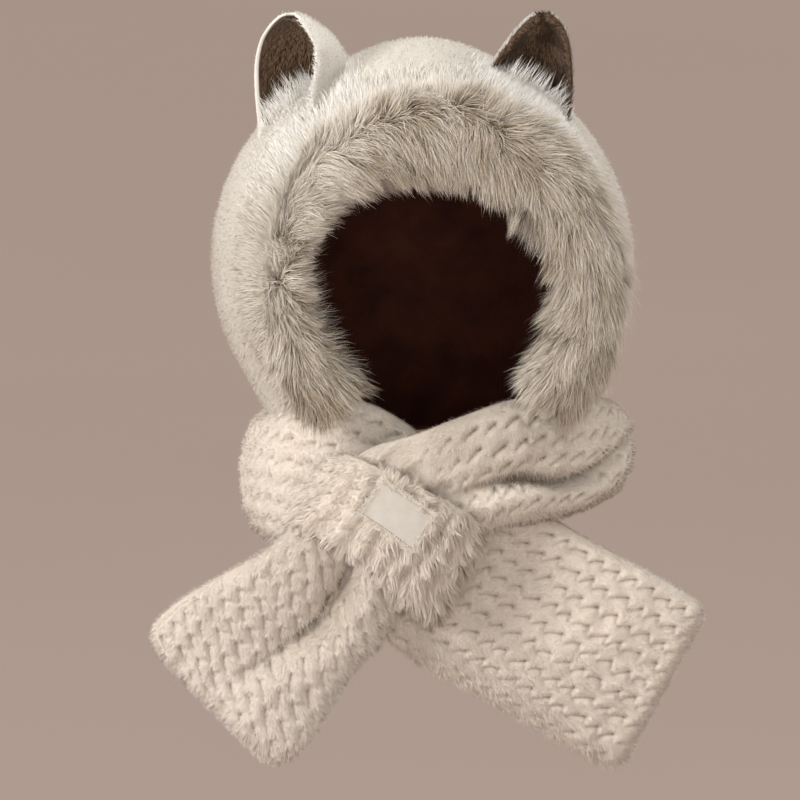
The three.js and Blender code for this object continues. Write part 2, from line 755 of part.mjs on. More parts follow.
const group = new THREE.Group();
group.name = "cat_ear_hooded_scarf";
addPiece(group, "hood", hood, colours.hood);
addPiece(group, "hood_lining", lining, colours.lining);
addPiece(group, "fur_trim", trim, colours.trim);
addPiece(group, "ear_left", earLeftOuter, colours.hood);
addPiece(group, "ear_left_inner", earLeftInner, colours.earInner);
addPiece(group, "ear_left_tuft", tuftLeft, colours.tuft);
addPiece(group, "ear_right", earRightOuter, colours.hood);
addPiece(group, "ear_right_inner", earRightInner, colours.earInner);
addPiece(group, "ear_right_tuft", tuftRight, colours.tuft);
addPiece(group, "scarf_wrap", scarfWrap, colours.scarf);
addPiece(group, "scarf_end_left", scarfLeft, colours.scarf);
addPiece(group, "scarf_end_right", scarfRight, colours.scarf);
addPiece(group, "scarf_loop", strap, colours.scarf);
addPiece(group, "label", labelPiece, colours.label);

export default group;
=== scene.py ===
"""Looks of a plush cat-ear hood with its scarf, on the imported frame. Tables in mm, scene in metres."""
import math

import bmesh
import bpy
import numpy as np
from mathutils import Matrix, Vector, kdtree


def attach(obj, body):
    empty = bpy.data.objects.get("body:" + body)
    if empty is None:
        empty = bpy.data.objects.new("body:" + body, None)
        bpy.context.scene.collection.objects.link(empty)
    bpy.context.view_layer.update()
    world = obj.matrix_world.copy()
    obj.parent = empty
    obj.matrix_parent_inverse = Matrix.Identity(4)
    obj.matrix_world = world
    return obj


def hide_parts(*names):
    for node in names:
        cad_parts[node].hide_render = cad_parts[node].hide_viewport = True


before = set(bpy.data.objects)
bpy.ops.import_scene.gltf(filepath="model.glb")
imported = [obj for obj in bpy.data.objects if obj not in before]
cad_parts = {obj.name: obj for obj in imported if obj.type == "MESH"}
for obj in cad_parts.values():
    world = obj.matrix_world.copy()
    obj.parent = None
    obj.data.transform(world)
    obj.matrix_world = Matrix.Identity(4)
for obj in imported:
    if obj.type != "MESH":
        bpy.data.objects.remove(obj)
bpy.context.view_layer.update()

MM = 0.001
PIXEL = 0.7  # mm of the object in a pixel of the photograph's frame
CENTRE = (423, 47)  # pixel that shows the origin
TILT = math.radians(8)
SIN, COS = math.sin(TILT), math.cos(TILT)
UP = np.array([0.0, SIN, COS])
RIGHT = np.array([1.0, 0.0, 0.0])
DOWN = np.array([0.0, 0.0, -1.0])
FRONT = np.array([0.0, -1.0, 0.0])
BACK = np.array([0.0, 1.0, 0.0])


# Numbers

def unit(v):
    return v / np.maximum(np.linalg.norm(v, axis=-1, keepdims=True), 1e-9)


def dot(a, b):
    return (a * b).sum(-1, keepdims=True)


def smooth(x, low, high):
    t = np.clip((x - low) / (high - low), 0, 1)
    return t * t * (3 - 2 * t)


def near_zero(x, size):
    return np.exp(-((x / size) ** 2))


def wobble(p, size, seed, count=6):
    """Smooth noise from about -1 to 1 at points p, with features of a given size."""
    rng = np.random.default_rng(seed)
    waves = unit(rng.normal(size=(count, 3))) * (rng.uniform(0.7, 1.5, (count, 1)) * 2 * math.pi / size)
    phase = rng.uniform(0, 2 * math.pi, count)
    return np.sin(p @ waves.T + phase).sum(-1) / math.sqrt(count / 2) / 1.4


def circle(count):
    """Evenly spaced angles round a circle."""
    return np.linspace(0, 2 * math.pi, count, endpoint=False)


def joined(first, second):
    """Each array of the first list with the second list's array after it."""
    return [np.concatenate(pair) for pair in zip(first, second)]


def seen(x, height, y):
    """The point seen from the front at x and this height, at depth y."""
    return np.stack([x, y, (height - y * SIN) / COS], -1)


def picture(p):
    """Places of points in the photograph's frame, in its pixels."""
    return np.stack([CENTRE[0] + p[..., 0] / PIXEL, CENTRE[1] - (p @ UP) / PIXEL], -1)


def row_at(table, place):
    """A smooth curve through the rows of a table, at fractional row places."""
    table = np.asarray(table, float)
    place = np.atleast_1d(np.asarray(place, float))
    last = len(table) - 1
    i = np.minimum(np.floor(place).astype(int), last - 1)
    t = (place - i)[:, None]
    a, b, d, e = (table[np.clip(i + k, 0, last)] for k in (-1, 0, 1, 2))
    curve = (3 * b - 3 * d + e - a) * t + (2 * a - 5 * b + 4 * d - e)
    return 0.5 * (2 * b + (d - a) * t + curve * t * t)


# Grids of points, as surfaces

class Surface:
    """A grid of points, its normals, and values at its points."""

    def __init__(self, points, closed=False, flip=False, **values):
        self.points, self.closed, self.flip, self.values = points, closed, flip, values
        du = np.gradient(points, axis=0)
        dv = np.gradient(points, axis=1)
        if closed:
            dv = (np.roll(points, -1, 1) - np.roll(points, 1, 1)) / 2
        self.normals = unit(np.cross(du, dv)) * (-1 if flip else 1)

    def quads(self):
        nu, nv = self.points.shape[:2]
        last = nv if self.closed else nv - 1
        i, k = np.meshgrid(np.arange(nu - 1), np.arange(last), indexing="ij")
        a = i * nv + k
        b = i * nv + (k + 1) % nv
        quads = np.stack([a, a + nv, b + nv, b], -1).reshape(-1, 4)
        return quads[:, ::-1] if self.flip else quads

    def scatter(self, count, rng, weight=None):
        """Evenly strewn points: their places, normals and values."""
        quads = self.quads()
        flat = self.points.reshape(-1, 3)
        tris = np.concatenate([quads[:, [0, 1, 2]], quads[:, [0, 2, 3]]])
        a, b, c = (flat[tris[:, k]] for k in range(3))
        area = np.linalg.norm(np.cross(b - a, c - a), axis=1) / 2
        if weight is not None:
            area = area * weight.reshape(-1)[tris].mean(1)
        total = np.cumsum(area)
        at = (np.arange(count) + rng.uniform(0, 1, count)) / count * total[-1]
        pick = np.minimum(np.searchsorted(total, at), len(tris) - 1)
        u, v = rng.uniform(0, 1, (2, count))
        over = u + v > 1
        u[over], v[over] = 1 - u[over], 1 - v[over]
        share = np.stack([1 - u - v, u, v], 1)[:, :, None]
        corner = tris[pick]

        def blend(value):
            value = value.reshape(len(flat), -1)
            mixed = (value[corner] * share).sum(1)
            return mixed[:, 0] if mixed.shape[1] == 1 else mixed

        found = {name: blend(value) for name, value in self.values.items()}
        return blend(flat), unit(blend(self.normals)), found


def facing(surface, ways):
    """The surface with its normals turned to these ways."""
    if dot(surface.normals, ways).mean() > 0:
        return surface
    return Surface(surface.points, surface.closed, not surface.flip, **surface.values)


# Blender objects

def new_object(name, data):
    thing = bpy.data.objects.new(name, data)
    bpy.context.scene.collection.objects.link(thing)
    return thing


def add_object(name, mesh, material, replaces=()):
    mesh.materials.append(material)
    piece = new_object(name, mesh)
    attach(piece, "root")
    if replaces:
        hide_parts(*replaces)
    return piece


def mesh_of(name, points, faces):
    """A mesh in metres from points in mm and faces, each a row of 3 or 4 indices."""
    mesh = bpy.data.meshes.new(name)
    loops = np.concatenate([f.reshape(-1) for f in faces])
    sizes = np.concatenate([np.full(len(f), f.shape[1]) for f in faces])
    mesh.vertices.add(len(points))
    mesh.vertices.foreach_set("co", (points * MM).astype(np.float32).ravel())
    mesh.loops.add(len(loops))
    mesh.loops.foreach_set("vertex_index", loops.astype(np.int32))
    mesh.polygons.add(len(sizes))
    starts = np.concatenate([[0], np.cumsum(sizes)[:-1]])
    mesh.polygons.foreach_set("loop_start", starts.astype(np.int32))
    mesh.polygons.foreach_set("use_smooth", np.ones(len(sizes), bool))
    mesh.update(calc_edges=True)
    return mesh


def outward(mesh):
    """The mesh with its open ends filled and its faces turned outwards."""
    work = bmesh.new()
    work.from_mesh(mesh)
    ends = [e for e in work.edges if len(e.link_faces) == 1]
    if ends:
        bmesh.ops.holes_fill(work, edges=ends, sides=0)
    bmesh.ops.recalc_face_normals(work, faces=work.faces)
    work.to_mesh(mesh)
    work.free()
    return mesh


def tube_mesh(name, surface):
    """The surface as a closed mesh, with a fan over each end."""
    rings, around = surface.points.shape[:2]
    flat = surface.points.reshape(-1, 3)
    ends = np.stack([surface.points[0].mean(0), surface.points[-1].mean(0)])
    ring = np.arange(around)
    onward = (ring + 1) % around
    first = np.stack([np.full(around, len(flat)), onward, ring], -1)
    last = np.stack([np.full(around, len(flat) + 1), ring, onward], -1)
    last = last + np.array([0, 1, 1]) * (rings - 1) * around
    if surface.flip:
        first, last = first[:, ::-1], last[:, ::-1]
    faces = [surface.quads(), first[:, ::-1], last[:, ::-1]]
    mesh = outward(mesh_of(name, np.concatenate([flat, ends]), faces))
    # the crease value carries painted shade for the cloth's creases, folds and shaded places
    if "crease" in surface.values:
        value = surface.values["crease"].ravel().astype(np.float32)
        attribute = mesh.attributes.new("crease", "FLOAT", "POINT")
        attribute.data.foreach_set("value", np.concatenate([value, value[[0, -1]]]))
    return mesh


def sheet_mesh(name, inside, outside):
    """A closed sheet between two grids of the same size."""
    nu, nv = inside.points.shape[:2]
    side = nu * nv
    points = np.concatenate([inside.points.reshape(-1, 3), outside.points.reshape(-1, 3)])
    quads = inside.quads()
    ids = np.arange(side).reshape(nu, nv)
    rim = np.concatenate([ids[0, :-1], ids[:-1, -1], ids[-1, :0:-1], ids[:0:-1, 0]])
    onward = np.roll(rim, -1)
    edge = np.stack([rim, onward, onward + side, rim + side], -1)
    return outward(mesh_of(name, points, [quads, quads[:, ::-1] + side, edge]))


# Fur: each hair is a tapered ribbon

def hairs(roots, normals, flow, length, lift, rng, segments=1, sag=0.0, bend=0.6, mess=0.12):
    """Points of hairs from roots, rising by lift and combed along flow."""
    count = len(roots)
    lift = np.broadcast_to(lift, count)[:, None]
    into = np.minimum(dot(flow, normals), 0)
    comb = unit(flow - into * normals)
    comb = unit(comb + rng.normal(0, mess, (count, 3)))
    points = [roots]
    for i in range(segments):
        t = (i + 0.5) / segments
        rise = lift * (1 - bend * t)
        way = comb * (1 - rise * 0.5) + normals * rise + DOWN * sag * t
        points.append(points[-1] + unit(way) * (np.broadcast_to(length, count)[:, None] / segments))
    return np.stack(points, 1)


def clump(points, spacing, strength, rng, power=1.0):
    """Draws the hairs' ends together into locks."""
    roots = points[:, 0]
    chosen = rng.permutation(len(roots))
    low = roots.min(0)
    cell = np.floor((roots[chosen] - low) / spacing).astype(int)
    _, first = np.unique(cell @ np.array([1, 4096, 4096 * 4096]), return_index=True)
    leaders = chosen[first]
    tree = kdtree.KDTree(len(leaders))
    for i, leader in enumerate(leaders):
        tree.insert(roots[leader], i)
    tree.balance()
    nearest = leaders[np.array([tree.find(r)[1] for r in roots])]
    steps = points.shape[1]
    share = (np.arange(steps) / (steps - 1)) ** power
    pull = share[None, :, None] * np.broadcast_to(strength, len(roots))[:, None, None]
    return points + (points[nearest] - points) * pull, nearest


def add_fur(name, material, points, normals, width, tone, softness=0.95, seed=1):
    """Ribbons along the hairs, with their tone and their place from root to tip as UVs."""
    count, steps = points.shape[:2]
    segments = steps - 1
    rng = np.random.default_rng(seed)
    along = unit(np.gradient(points, axis=1)) if segments > 1 else unit(points[:, 1:] - points[:, :1])
    along = along[:, :segments]
    side = unit(np.cross(along, normals[:, None, :]))
    share = np.arange(segments) / segments
    wide = np.broadcast_to(width, count)[:, None] * (1 - 0.75 * share[None, :] ** 1.5) / 2
    left = points[:, :segments] - side * wide[..., None]
    right = points[:, :segments] + side * wide[..., None]
    verts = np.concatenate([np.stack([left, right], 2).reshape(count, -1, 3), points[:, -1:]], 1)
    base = np.arange(count)[:, None] * (2 * segments + 1)
    tone = np.clip(tone, 0.02, 0.98)[:, None]
    faces, uvs = [], []
    for i in range(segments):
        end = i == segments - 1
        corners = np.array([1, 2, 0] if end else [1, 3, 2, 0])
        u = tone + 0.004 * np.array([1, 0, -1] if end else [1, 1, -1, -1])
        v = (i + np.array([0, 1, 0] if end else [0, 1, 1, 0])) / segments
        faces.append(base + 2 * i + corners)
        uvs.append(np.stack([u, np.broadcast_to(v, u.shape)], -1).reshape(-1, 2))
    mesh = mesh_of(name, verts.reshape(-1, 3), faces)
    layer = mesh.uv_layers.new(name="OFBake")
    layer.data.foreach_set("uv", np.concatenate(uvs).astype(np.float32).ravel())
    ways = np.concatenate([np.repeat(along, 2, 1), along[:, -1:]], 1)
    around = normals[:, None, :] + rng.normal(0, 0.25, (count, 1, 3))
    shade = unit(around - dot(around, ways) * ways * (1 - softness))
    mesh.normals_split_custom_set_from_vertices(shade.reshape(-1, 3))
    add_object(name, mesh, material)


def comb_from(places, controls, power=3.5):
    """Combing at picture places, from rows of x, y, way x, way y and further values."""
    controls = np.asarray(controls, float)
    far = ((places[:, None, :] - controls[None, :, :2]) ** 2).sum(-1)
    weight = 1 / (far + 4) ** (power / 2)
    weight /= weight.sum(1, keepdims=True)
    found = weight @ controls[:, 2:]
    ways = found[:, :1] * RIGHT - found[:, 1:2] * UP
    return unit(ways), found[:, 2:]


def paleness(places, tones):
    """How pale the hairs are at picture places, from rows of x, y and a value; for the scarf it is painted
    light and painted shade.
    """
    return comb_from(places, [[x, y, 0, 1, value] for x, y, value in tones])[1][:, 0]


# Materials

def rgb(r, g, b):
    return tuple(((c / 255 + 0.055) / 1.055) ** 2.4 for c in (r, g, b)) + (1.0,)


def new_material(name, roughness, sheen, tint):
    material = bpy.data.materials.new(name)
    material.use_nodes = True
    tree = material.node_tree
    shader = tree.nodes["Principled BSDF"]
    values = {"Roughness": roughness, "Specular IOR Level": 0.2, "Sheen Weight": sheen,
              "Sheen Roughness": 0.5, "Sheen Tint": rgb(*tint)}
    for socket, value in values.items():
        shader.inputs[socket].default_value = value
    return material, tree, shader


def ramp_of(tree, value, stops):
    ramp = tree.nodes.new("ShaderNodeValToRGB")
    elements = ramp.color_ramp.elements
    while len(elements) < len(stops):
        elements.new(0.5)
    for element, (place, *colour) in zip(elements, stops):
        element.position = place
        element.color = rgb(*colour)
    tree.links.new(value, ramp.inputs["Fac"])
    return ramp.outputs["Color"]


def noise(tree, scale, detail):
    place = tree.nodes.new("ShaderNodeTexCoord")
    cloud = tree.nodes.new("ShaderNodeTexNoise")
    cloud.inputs["Scale"].default_value = scale
    cloud.inputs["Detail"].default_value = detail
    tree.links.new(place.outputs["Object"], cloud.inputs["Vector"])
    return cloud.outputs["Fac"]


def mixed(tree, share, a, b):
    mix = tree.nodes.new("ShaderNodeMix")
    mix.data_type = "RGBA"
    tree.links.new(share, mix.inputs[0])
    tree.links.new(a, mix.inputs[6])
    tree.links.new(b, mix.inputs[7])
    return mix.outputs[2]


WARM = (255, 246, 235)  # tint of the sheen


def hair_material(name, dark, light):
    """Colours from root to tip of the dark and of the light hairs; the UVs say which hair it is."""
    material, tree, shader = new_material(name, 0.7, 0.15, WARM)
    uv = tree.nodes.new("ShaderNodeUVMap")
    uv.uv_map = "OFBake"
    parts = tree.nodes.new("ShaderNodeSeparateXYZ")
    tree.links.new(uv.outputs["UV"], parts.inputs["Vector"])
    colour = mixed(tree, parts.outputs["X"], ramp_of(tree, parts.outputs["Y"], dark),
                   ramp_of(tree, parts.outputs["Y"], light))
    tree.links.new(colour, shader.inputs["Base Color"])
    return material


def cloth_material(name, dark, light, scale, bump, sheen=0.3, tint=WARM, crease=None):
    """Mottled cloth with a fine pile, with painted shade where the mesh's crease value says."""
    material, tree, shader = new_material(name, 0.85, sheen, tint)
    cloud = noise(tree, scale, 5)
    colour = ramp_of(tree, cloud, [(0.3, *dark), (0.7, *light)])
    # painted shade: the crease colour is mixed in by the mesh's crease value
    if crease:
        value = tree.nodes.new("ShaderNodeAttribute")
        value.attribute_name = "crease"
        deep = ramp_of(tree, cloud, [(0.3, *crease), (0.7, *crease)])
        colour = mixed(tree, value.outputs["Fac"], colour, deep)
    tree.links.new(colour, shader.inputs["Base Color"])
    relief = tree.nodes.new("ShaderNodeBump")
    relief.inputs["Strength"].default_value = bump
    relief.inputs["Distance"].default_value = 0.0015
    tree.links.new(noise(tree, scale * 14, 3), relief.inputs["Height"])
    tree.links.new(relief.outputs["Normal"], shader.inputs["Normal"])
    return material


cream_hair = hair_material(
    "cream_hair",
    [(0, 196, 182, 165), (0.5, 214, 202, 187), (1, 222, 211, 198)],
    [(0, 222, 211, 197), (0.5, 236, 226, 214), (1, 242, 234, 224)],
)
plush_hair = hair_material(
    "plush_hair",
    [(0, 192, 184, 171), (0.6, 206, 198, 187), (1, 212, 205, 194)],
    [(0, 204, 197, 186), (0.5, 216, 210, 200), (1, 224, 218, 209)],
)
fringe_hair = hair_material(
    "fringe_hair",
    [(0, 160, 147, 128), (0.5, 184, 173, 156), (1, 200, 190, 175)],
    [(0, 198, 190, 177), (0.5, 222, 215, 205), (1, 236, 231, 223)],
)
trim_hair = hair_material(
    "trim_hair",
    [(0, 66, 51, 34), (0.4, 112, 93, 68), (0.75, 158, 139, 112), (1, 184, 168, 144)],
    [(0, 172, 160, 142), (0.35, 200, 190, 174), (0.7, 226, 218, 206), (1, 244, 239, 230)],
)
brown_hair = hair_material(
    "brown_hair",
    [(0, 44, 29, 21), (1, 88, 64, 47)],
    [(0, 92, 68, 50), (1, 176, 146, 116)],
)
white_hair = hair_material(
    "white_hair",
    [(0, 176, 167, 154), (0.5, 212, 206, 196), (1, 232, 228, 220)],
    [(0, 212, 205, 194), (0.4, 238, 234, 227), (1, 248, 246, 241)],
)
# its crease colour is painted shade for the weave's creases and the folds
cream_cloth = cloth_material("cream_cloth", (224, 213, 199), (232, 222, 209), 60, 0.35,
                             crease=(104, 85, 66))
plush_cloth = cloth_material("plush_cloth", (196, 190, 179), (204, 198, 188), 45, 0.25)
trim_cloth = cloth_material("trim_cloth", (108, 93, 74), (142, 127, 107), 90, 0.6)
brown_cloth = cloth_material("brown_cloth", (44, 30, 21), (84, 62, 45), 120, 0.6)
lining_cloth = cloth_material("lining_cloth", (46, 17, 8), (68, 31, 18), 40, 0.9, tint=(150, 90, 60))


# Hood and its lining

HOOD_RINGS = [
    # y, radius, centre x, centre z, share of the crown bump
    [-92, 120, 8, -150, 0.3],
    [-84, 127, 7, -150, 0.6],
    [-62, 137, 5, -149, 0.9],
    [-30, 147, 1, -148, 1.0],
    [4, 149, -1, -148, 1.0],
    [36, 141, -2, -148, 0.9],
    [66, 125, -4, -149, 0.7],
    [91, 100, -6, -151, 0.4],
    [108, 70, -7, -153, 0.2],
    [118, 36, -8, -154, 0],
    [121, 2, -8, -154, 0],
]
HOOD_AROUND = 120
NECK_HOLE = (82, 94, 2, -9, -226, -420)  # half x, half y, middle x and y, top, bottom


def bowl_grid(off, rings=44, rim=0.0):
    """Points of the hood's bowl, off mm inside its outer face."""
    place = np.linspace(0, 1, rings) ** 0.85 * (len(HOOD_RINGS) - 1)
    y, radius, cx, cz, bump = row_at(HOOD_RINGS, place).T[:, :, None]
    y = y.copy()
    y[0] += rim
    turn = circle(HOOD_AROUND)[None, :]
    near = np.where(turn > math.pi, turn - 2 * math.pi, turn)
    rise = 8.3 * bump * np.exp(-((near / math.radians(19)) ** 2))
    back = np.clip((y - 20) / 101, 0, 1) ** 2
    r = radius + rise - off * (1 - 0.1 * (off > 3)) * np.clip(radius / 40, 0, 1)
    drop = 34 * smooth(np.abs(near), math.radians(122), math.radians(152)) * smooth(y, -92, -50)
    x = cx + r * np.sin(turn)
    z = cz + r * np.cos(turn) - drop
    return np.stack([x, np.broadcast_to(y - off * back, x.shape), z], -1)


def bowl_mesh(name, outer, inner, rim, hole):
    """A closed bowl between two offsets, with the neck hole cut out."""
    outside = bowl_grid(outer, rim=rim)
    inside = bowl_grid(inner, rim=rim)
    rings, around = outside.shape[:2]
    points = np.concatenate([outside.reshape(-1, 3), inside.reshape(-1, 3)])
    shell = Surface(outside, closed=True).quads()[:, [0, 3, 2, 1]]
    shift = rings * around
    ring = np.arange(around)
    onward = (ring + 1) % around
    lip = np.stack([ring, ring + shift, onward + shift, onward], -1)
    faces = np.concatenate([shell, shell[:, ::-1] + shift, lip])
    mesh = outward(mesh_of(name, points, [faces]))
    half_x, half_y, mid_x, mid_y, top, bottom = NECK_HOLE
    bpy.ops.mesh.primitive_cylinder_add(vertices=72, radius=1, depth=1)
    cutter = bpy.context.object
    cutter.scale = ((half_x - hole) * MM, (half_y - hole) * MM, (top - bottom) * MM)
    cutter.location = (mid_x * MM, mid_y * MM, (top + bottom) / 2 * MM)
    whole = new_object(name + "_whole", mesh)
    modifier = whole.modifiers.new("hole", "BOOLEAN")
    modifier.operation = "DIFFERENCE"
    modifier.object = cutter
    modifier.solver = "MANIFOLD"
    bpy.context.view_layer.update()
    depsgraph = bpy.context.evaluated_depsgraph_get()
    result = bpy.data.meshes.new_from_object(whole.evaluated_get(depsgraph))
    result.name = name
    bpy.data.objects.remove(whole)
    bpy.data.objects.remove(cutter)
    result.materials.clear()
    result.polygons.foreach_set("use_smooth", np.ones(len(result.polygons), bool))
    return result


def in_neck_hole(points):
    half_x, half_y, mid_x, mid_y, top, _ = NECK_HOLE
    x, y, z = points.T
    return (((x - mid_x) / half_x) ** 2 + ((y - mid_y) / half_y) ** 2 < 1) & (z < top)


rng = np.random.default_rng(7)
hood = bowl_mesh("hood_plush", 1.8, 6.4, 3, 0)
hood = add_object("hood_plush", hood, plush_cloth, ["hood"])
lining = bowl_mesh("lining", 7.9, 9.9, 6, 1.5)
lining = add_object("lining", lining, lining_cloth, ["hood_lining"])
outer = Surface(bowl_grid(1.8), closed=True)
outer = facing(outer, outer.points - (0, 0, -150))
HOOD_HAIRS = 52000
roots, normals, _ = outer.scatter(HOOD_HAIRS, rng)
kept = ~in_neck_hole(roots) & (roots[:, 2] > -330)
roots, normals = roots[kept], normals[kept]
flow = np.array([0, 0.75, -0.75]) + 0.25 * normals
length = 3.4 * rng.uniform(0.7, 1.2, len(roots))
pile = hairs(roots, normals, flow, length, 0.5, rng, 1, mess=0.3)
# painted shade: the pile on the lower left of the hood is made darker
painted_shade = smooth(-roots[:, 0], 90, 135) * smooth(-roots[:, 2], 60, 120)
tone = 0.5 + 0.2 * wobble(roots, 40, 3) + rng.normal(0, 0.12, len(roots)) - 0.6 * painted_shade
add_fur("hood_pile", plush_hair, pile, normals, 0.6, tone)


# Fur trim round the face

TRIM = (11, -113, -151, 106, 24)  # middle of the horseshoe, its radius, its depth
TRIM_ROWS = [
    # angle from the top, half width, share of the depth
    [-141, 16, 0.6],
    [-132, 24, 0.85],
    [-115, 22, 1],
    [-90, 15, 1],
    [-60, 21, 1],
    [-25, 29, 1],
    [0, 30, 1],
    [30, 29, 1],
    [65, 26, 1],
    [95, 24, 1],
    [118, 24, 1],
    [130, 23, 0.85],
    [138, 16, 0.6],
]


def trim_surface(inset, along=150, around=28):
    places, halves, depths = np.array(TRIM_ROWS, float).T
    angles = np.linspace(places[0] + 3, places[-1] - 3, along)
    half = np.interp(angles, places, halves)[:, None, None] - inset
    depth = TRIM[4] * np.interp(angles, places, depths)[:, None, None] - inset
    angle = np.radians(angles)
    out = np.stack([np.sin(angle), 0 * angle, np.cos(angle)], -1)[:, None, :]
    turn = circle(around)
    middle = np.array(TRIM[:3]) + out * TRIM[3]
    wave = np.sin(turn)[None, :, None]
    ahead = np.cos(turn)[None, :, None]
    points = middle + out * half * wave + FRONT * depth * ahead
    turns = np.where(turn > math.pi, turn - 2 * math.pi, turn)
    values = {"turn": turns, "angle": angles[:, None], "across": wave[..., 0]}
    values = {name: np.broadcast_to(value, points.shape[:2]) for name, value in values.items()}
    return Surface(points, closed=True, **values)


TRIM_COMB = [
    # x, y in the photograph, way x, way y (down), length, lift
    [232, 226, -1, -.1, 12, .3], [240, 209, -.95, -.3, 14, .3], [246, 186, -.9, -.45, 14, .3],
    [265, 186, -.8, -.6, 17, .35], [248, 250, -1, 0, 15, .32], [232, 291, -1, .3, 16, .32],
    [250, 280, -1, .1, 17, .35], [255, 300, -.9, .5, 18, .35], [240, 320, -.75, .65, 17, .32],
    [259, 345, -.5, .86, 22, .32], [250, 360, -.55, .84, 20, .32], [270, 367, -.42, .9, 24, .32],
    [278, 392, -.2, .98, 22, .3], [288, 375, .05, 1, 26, .35], [282, 332, -.05, 1, 26, .4],
    [291, 404, .05, 1, 29, .26], [303, 404, .22, .97, 31, .26], [325, 397, .45, .87, 30, .28],
    [332, 418, .15, 1, 27, .25], [354, 394, .75, .6, 22, .28], [339, 382, .75, .62, 26, .3],
    [317, 379, .65, .78, 28, .32], [325, 345, .76, .65, 28, .32], [303, 332, .62, .78, 30, .35],
    [310, 320, .8, .6, 28, .35], [290, 310, .75, .65, 26, .38], [300, 292, 1, .12, 22, .38],
    [282, 292, .9, .35, 24, .42], [330, 318, .95, .3, 24, .32], [344, 345, .9, .42, 22, .3],
    [356, 366, .85, .5, 20, .28], [318, 290, .95, -.1, 14, .32], [313, 274, .75, -.62, 13, .34],
    [301, 247, .8, -.55, 17, .36], [290, 234, .97, -.22, 26, .36], [298, 209, .92, -.34, 24, .34],
    [315, 200, .9, -.38, 20, .32], [339, 201, .95, -.25, 15, .3], [272, 262, .1, -1, 20, .42],
    [274, 225, .35, -.9, 20, .42], [266, 280, -.3, -.3, 17, .55], [260, 215, -.8, -.5, 18, .38],
    [283, 168, -.6, -.78, 19, .36], [306, 153, -.45, -.88, 20, .36], [290, 183, .2, -.8, 20, .45],
    [323, 180, .96, .1, 23, .34], [331, 168, .88, .45, 28, .34], [356, 159, .9, .4, 25, .34],
    [372, 186, .88, .35, 17, .3], [389, 143, .62, .78, 30, .36], [422, 159, .42, .9, 30, .34],
    [405, 176, .66, .7, 18, .3], [430, 180, .36, .9, 17, .3], [335, 130, -.2, -.95, 20, .36],
    [352, 118, .1, -.99, 20, .36], [372, 108, .5, -.85, 20, .36], [381, 93, -.05, -1, 18, .34],
    [414, 95, .25, -.95, 18, .36], [416, 82, .15, -1, 15, .3], [417, 130, .28, .95, 28, .4],
    [433, 143, .3, .95, 30, .36], [466, 128, .12, .98, 28, .42], [450, 151, .12, 1, 30, .36],
    [441, 176, .22, .98, 20, .3], [470, 176, .06, 1, 23, .3], [491, 176, .12, 1, 28, .3],
    [503, 168, .26, .96, 30, .32], [516, 180, .3, .95, 30, .32], [512, 205, -.3, 1, 34, .26],
    [530, 215, -.25, 1, 26, .28], [441, 98, .1, -1, 18, .36], [472, 88, .35, -.9, 17, .32],
    [491, 106, .5, -.8, 19, .36], [516, 118, .8, -.52, 20, .36], [541, 130, .96, -.18, 20, .34],
    [533, 153, .96, -.12, 22, .38], [505, 140, .5, .3, 22, .45], [558, 160, .88, .35, 23, .36],
    [574, 160, .86, .48, 20, .32], [549, 176, .72, .68, 26, .36], [566, 189, .62, .78, 27, .34],
    [582, 209, .5, .87, 27, .34], [600, 205, .6, .8, 22, .3], [558, 209, .36, .93, 28, .34],
    [541, 201, .1, 1, 28, .32], [541, 226, -.18, 1, 26, .3], [566, 234, .08, 1, 28, .34],
    [599, 234, .36, .93, 27, .32], [616, 226, .48, .88, 22, .3], [541, 251, -.42, .9, 24, .3],
    [566, 267, -.15, 1, 28, .32], [582, 276, -.05, 1, 30, .32], [607, 284, .2, .98, 28, .3],
    [624, 276, .28, .96, 22, .3], [549, 292, -.92, .15, 22, .34], [563, 305, -.75, .55, 26, .34],
    [581, 296, -.28, .96, 30, .32], [581, 331, -.25, .97, 30, .3], [545, 318, -.88, .35, 24, .32],
    [545, 344, -.75, .6, 26, .3], [535, 365, -.75, .62, 24, .3], [554, 367, -.58, .8, 28, .28],
    [572, 367, -.32, .95, 30, .28], [590, 358, .02, 1, 30, .28], [608, 358, .26, .95, 24, .28],
    [616, 322, .24, .97, 25, .28], [625, 296, .26, .97, 22, .28], [541, 394, -.38, .9, 26, .25],
    [563, 403, -.1, 1, 28, .25], [581, 394, .06, 1, 27, .25], [598, 385, .22, .98, 20, .25],
]
TRIM_TONES = [
    # x, y in the photograph, how pale the fur is there
    [420, 120, .24], [380, 120, .3], [470, 108, .3], [340, 140, .62], [310, 160, .8], [300, 190, .66],
    [275, 200, .72], [250, 190, 1], [245, 250, 1], [270, 225, .62], [268, 290, .85], [290, 240, .55],
    [310, 270, .52], [290, 320, .52], [268, 340, .8], [310, 350, .5], [320, 395, .22], [295, 398, .28],
    [350, 385, .36], [262, 375, .95], [400, 88, .72], [420, 74, 1.3], [350, 90, 1.3], [330, 110, 1.1],
    [440, 165, .42], [400, 165, .28], [360, 165, .3], [500, 145, .24], [520, 160, .24], [540, 140, .5],
    [560, 155, .5], [480, 180, .52], [510, 205, .6], [580, 215, .44], [610, 235, .75], [560, 240, .38],
    [590, 290, .38], [622, 300, .75], [560, 330, .45], [600, 350, .48], [570, 385, .36], [550, 290, .45],
    [540, 360, .52], [500, 80, 1.2], [540, 100, 1.1], [575, 135, .95], [385, 80, 1.3], [460, 85, .8],
    [305, 132, 1.3], [285, 152, 1.3], [330, 120, 1.3], [274, 172, 1.2], [362, 98, 1.2], [262, 205, 1.1],
    [256, 232, 1.1], [312, 146, .8], [290, 172, .7],
]
TRIM_HAIRS = 56000
WHORL = (284, 288)
trim = trim_surface(5.5)
trim = facing(trim, trim.points - trim.points.mean(1, keepdims=True))
trim_base = tube_mesh("trim_base", trim)
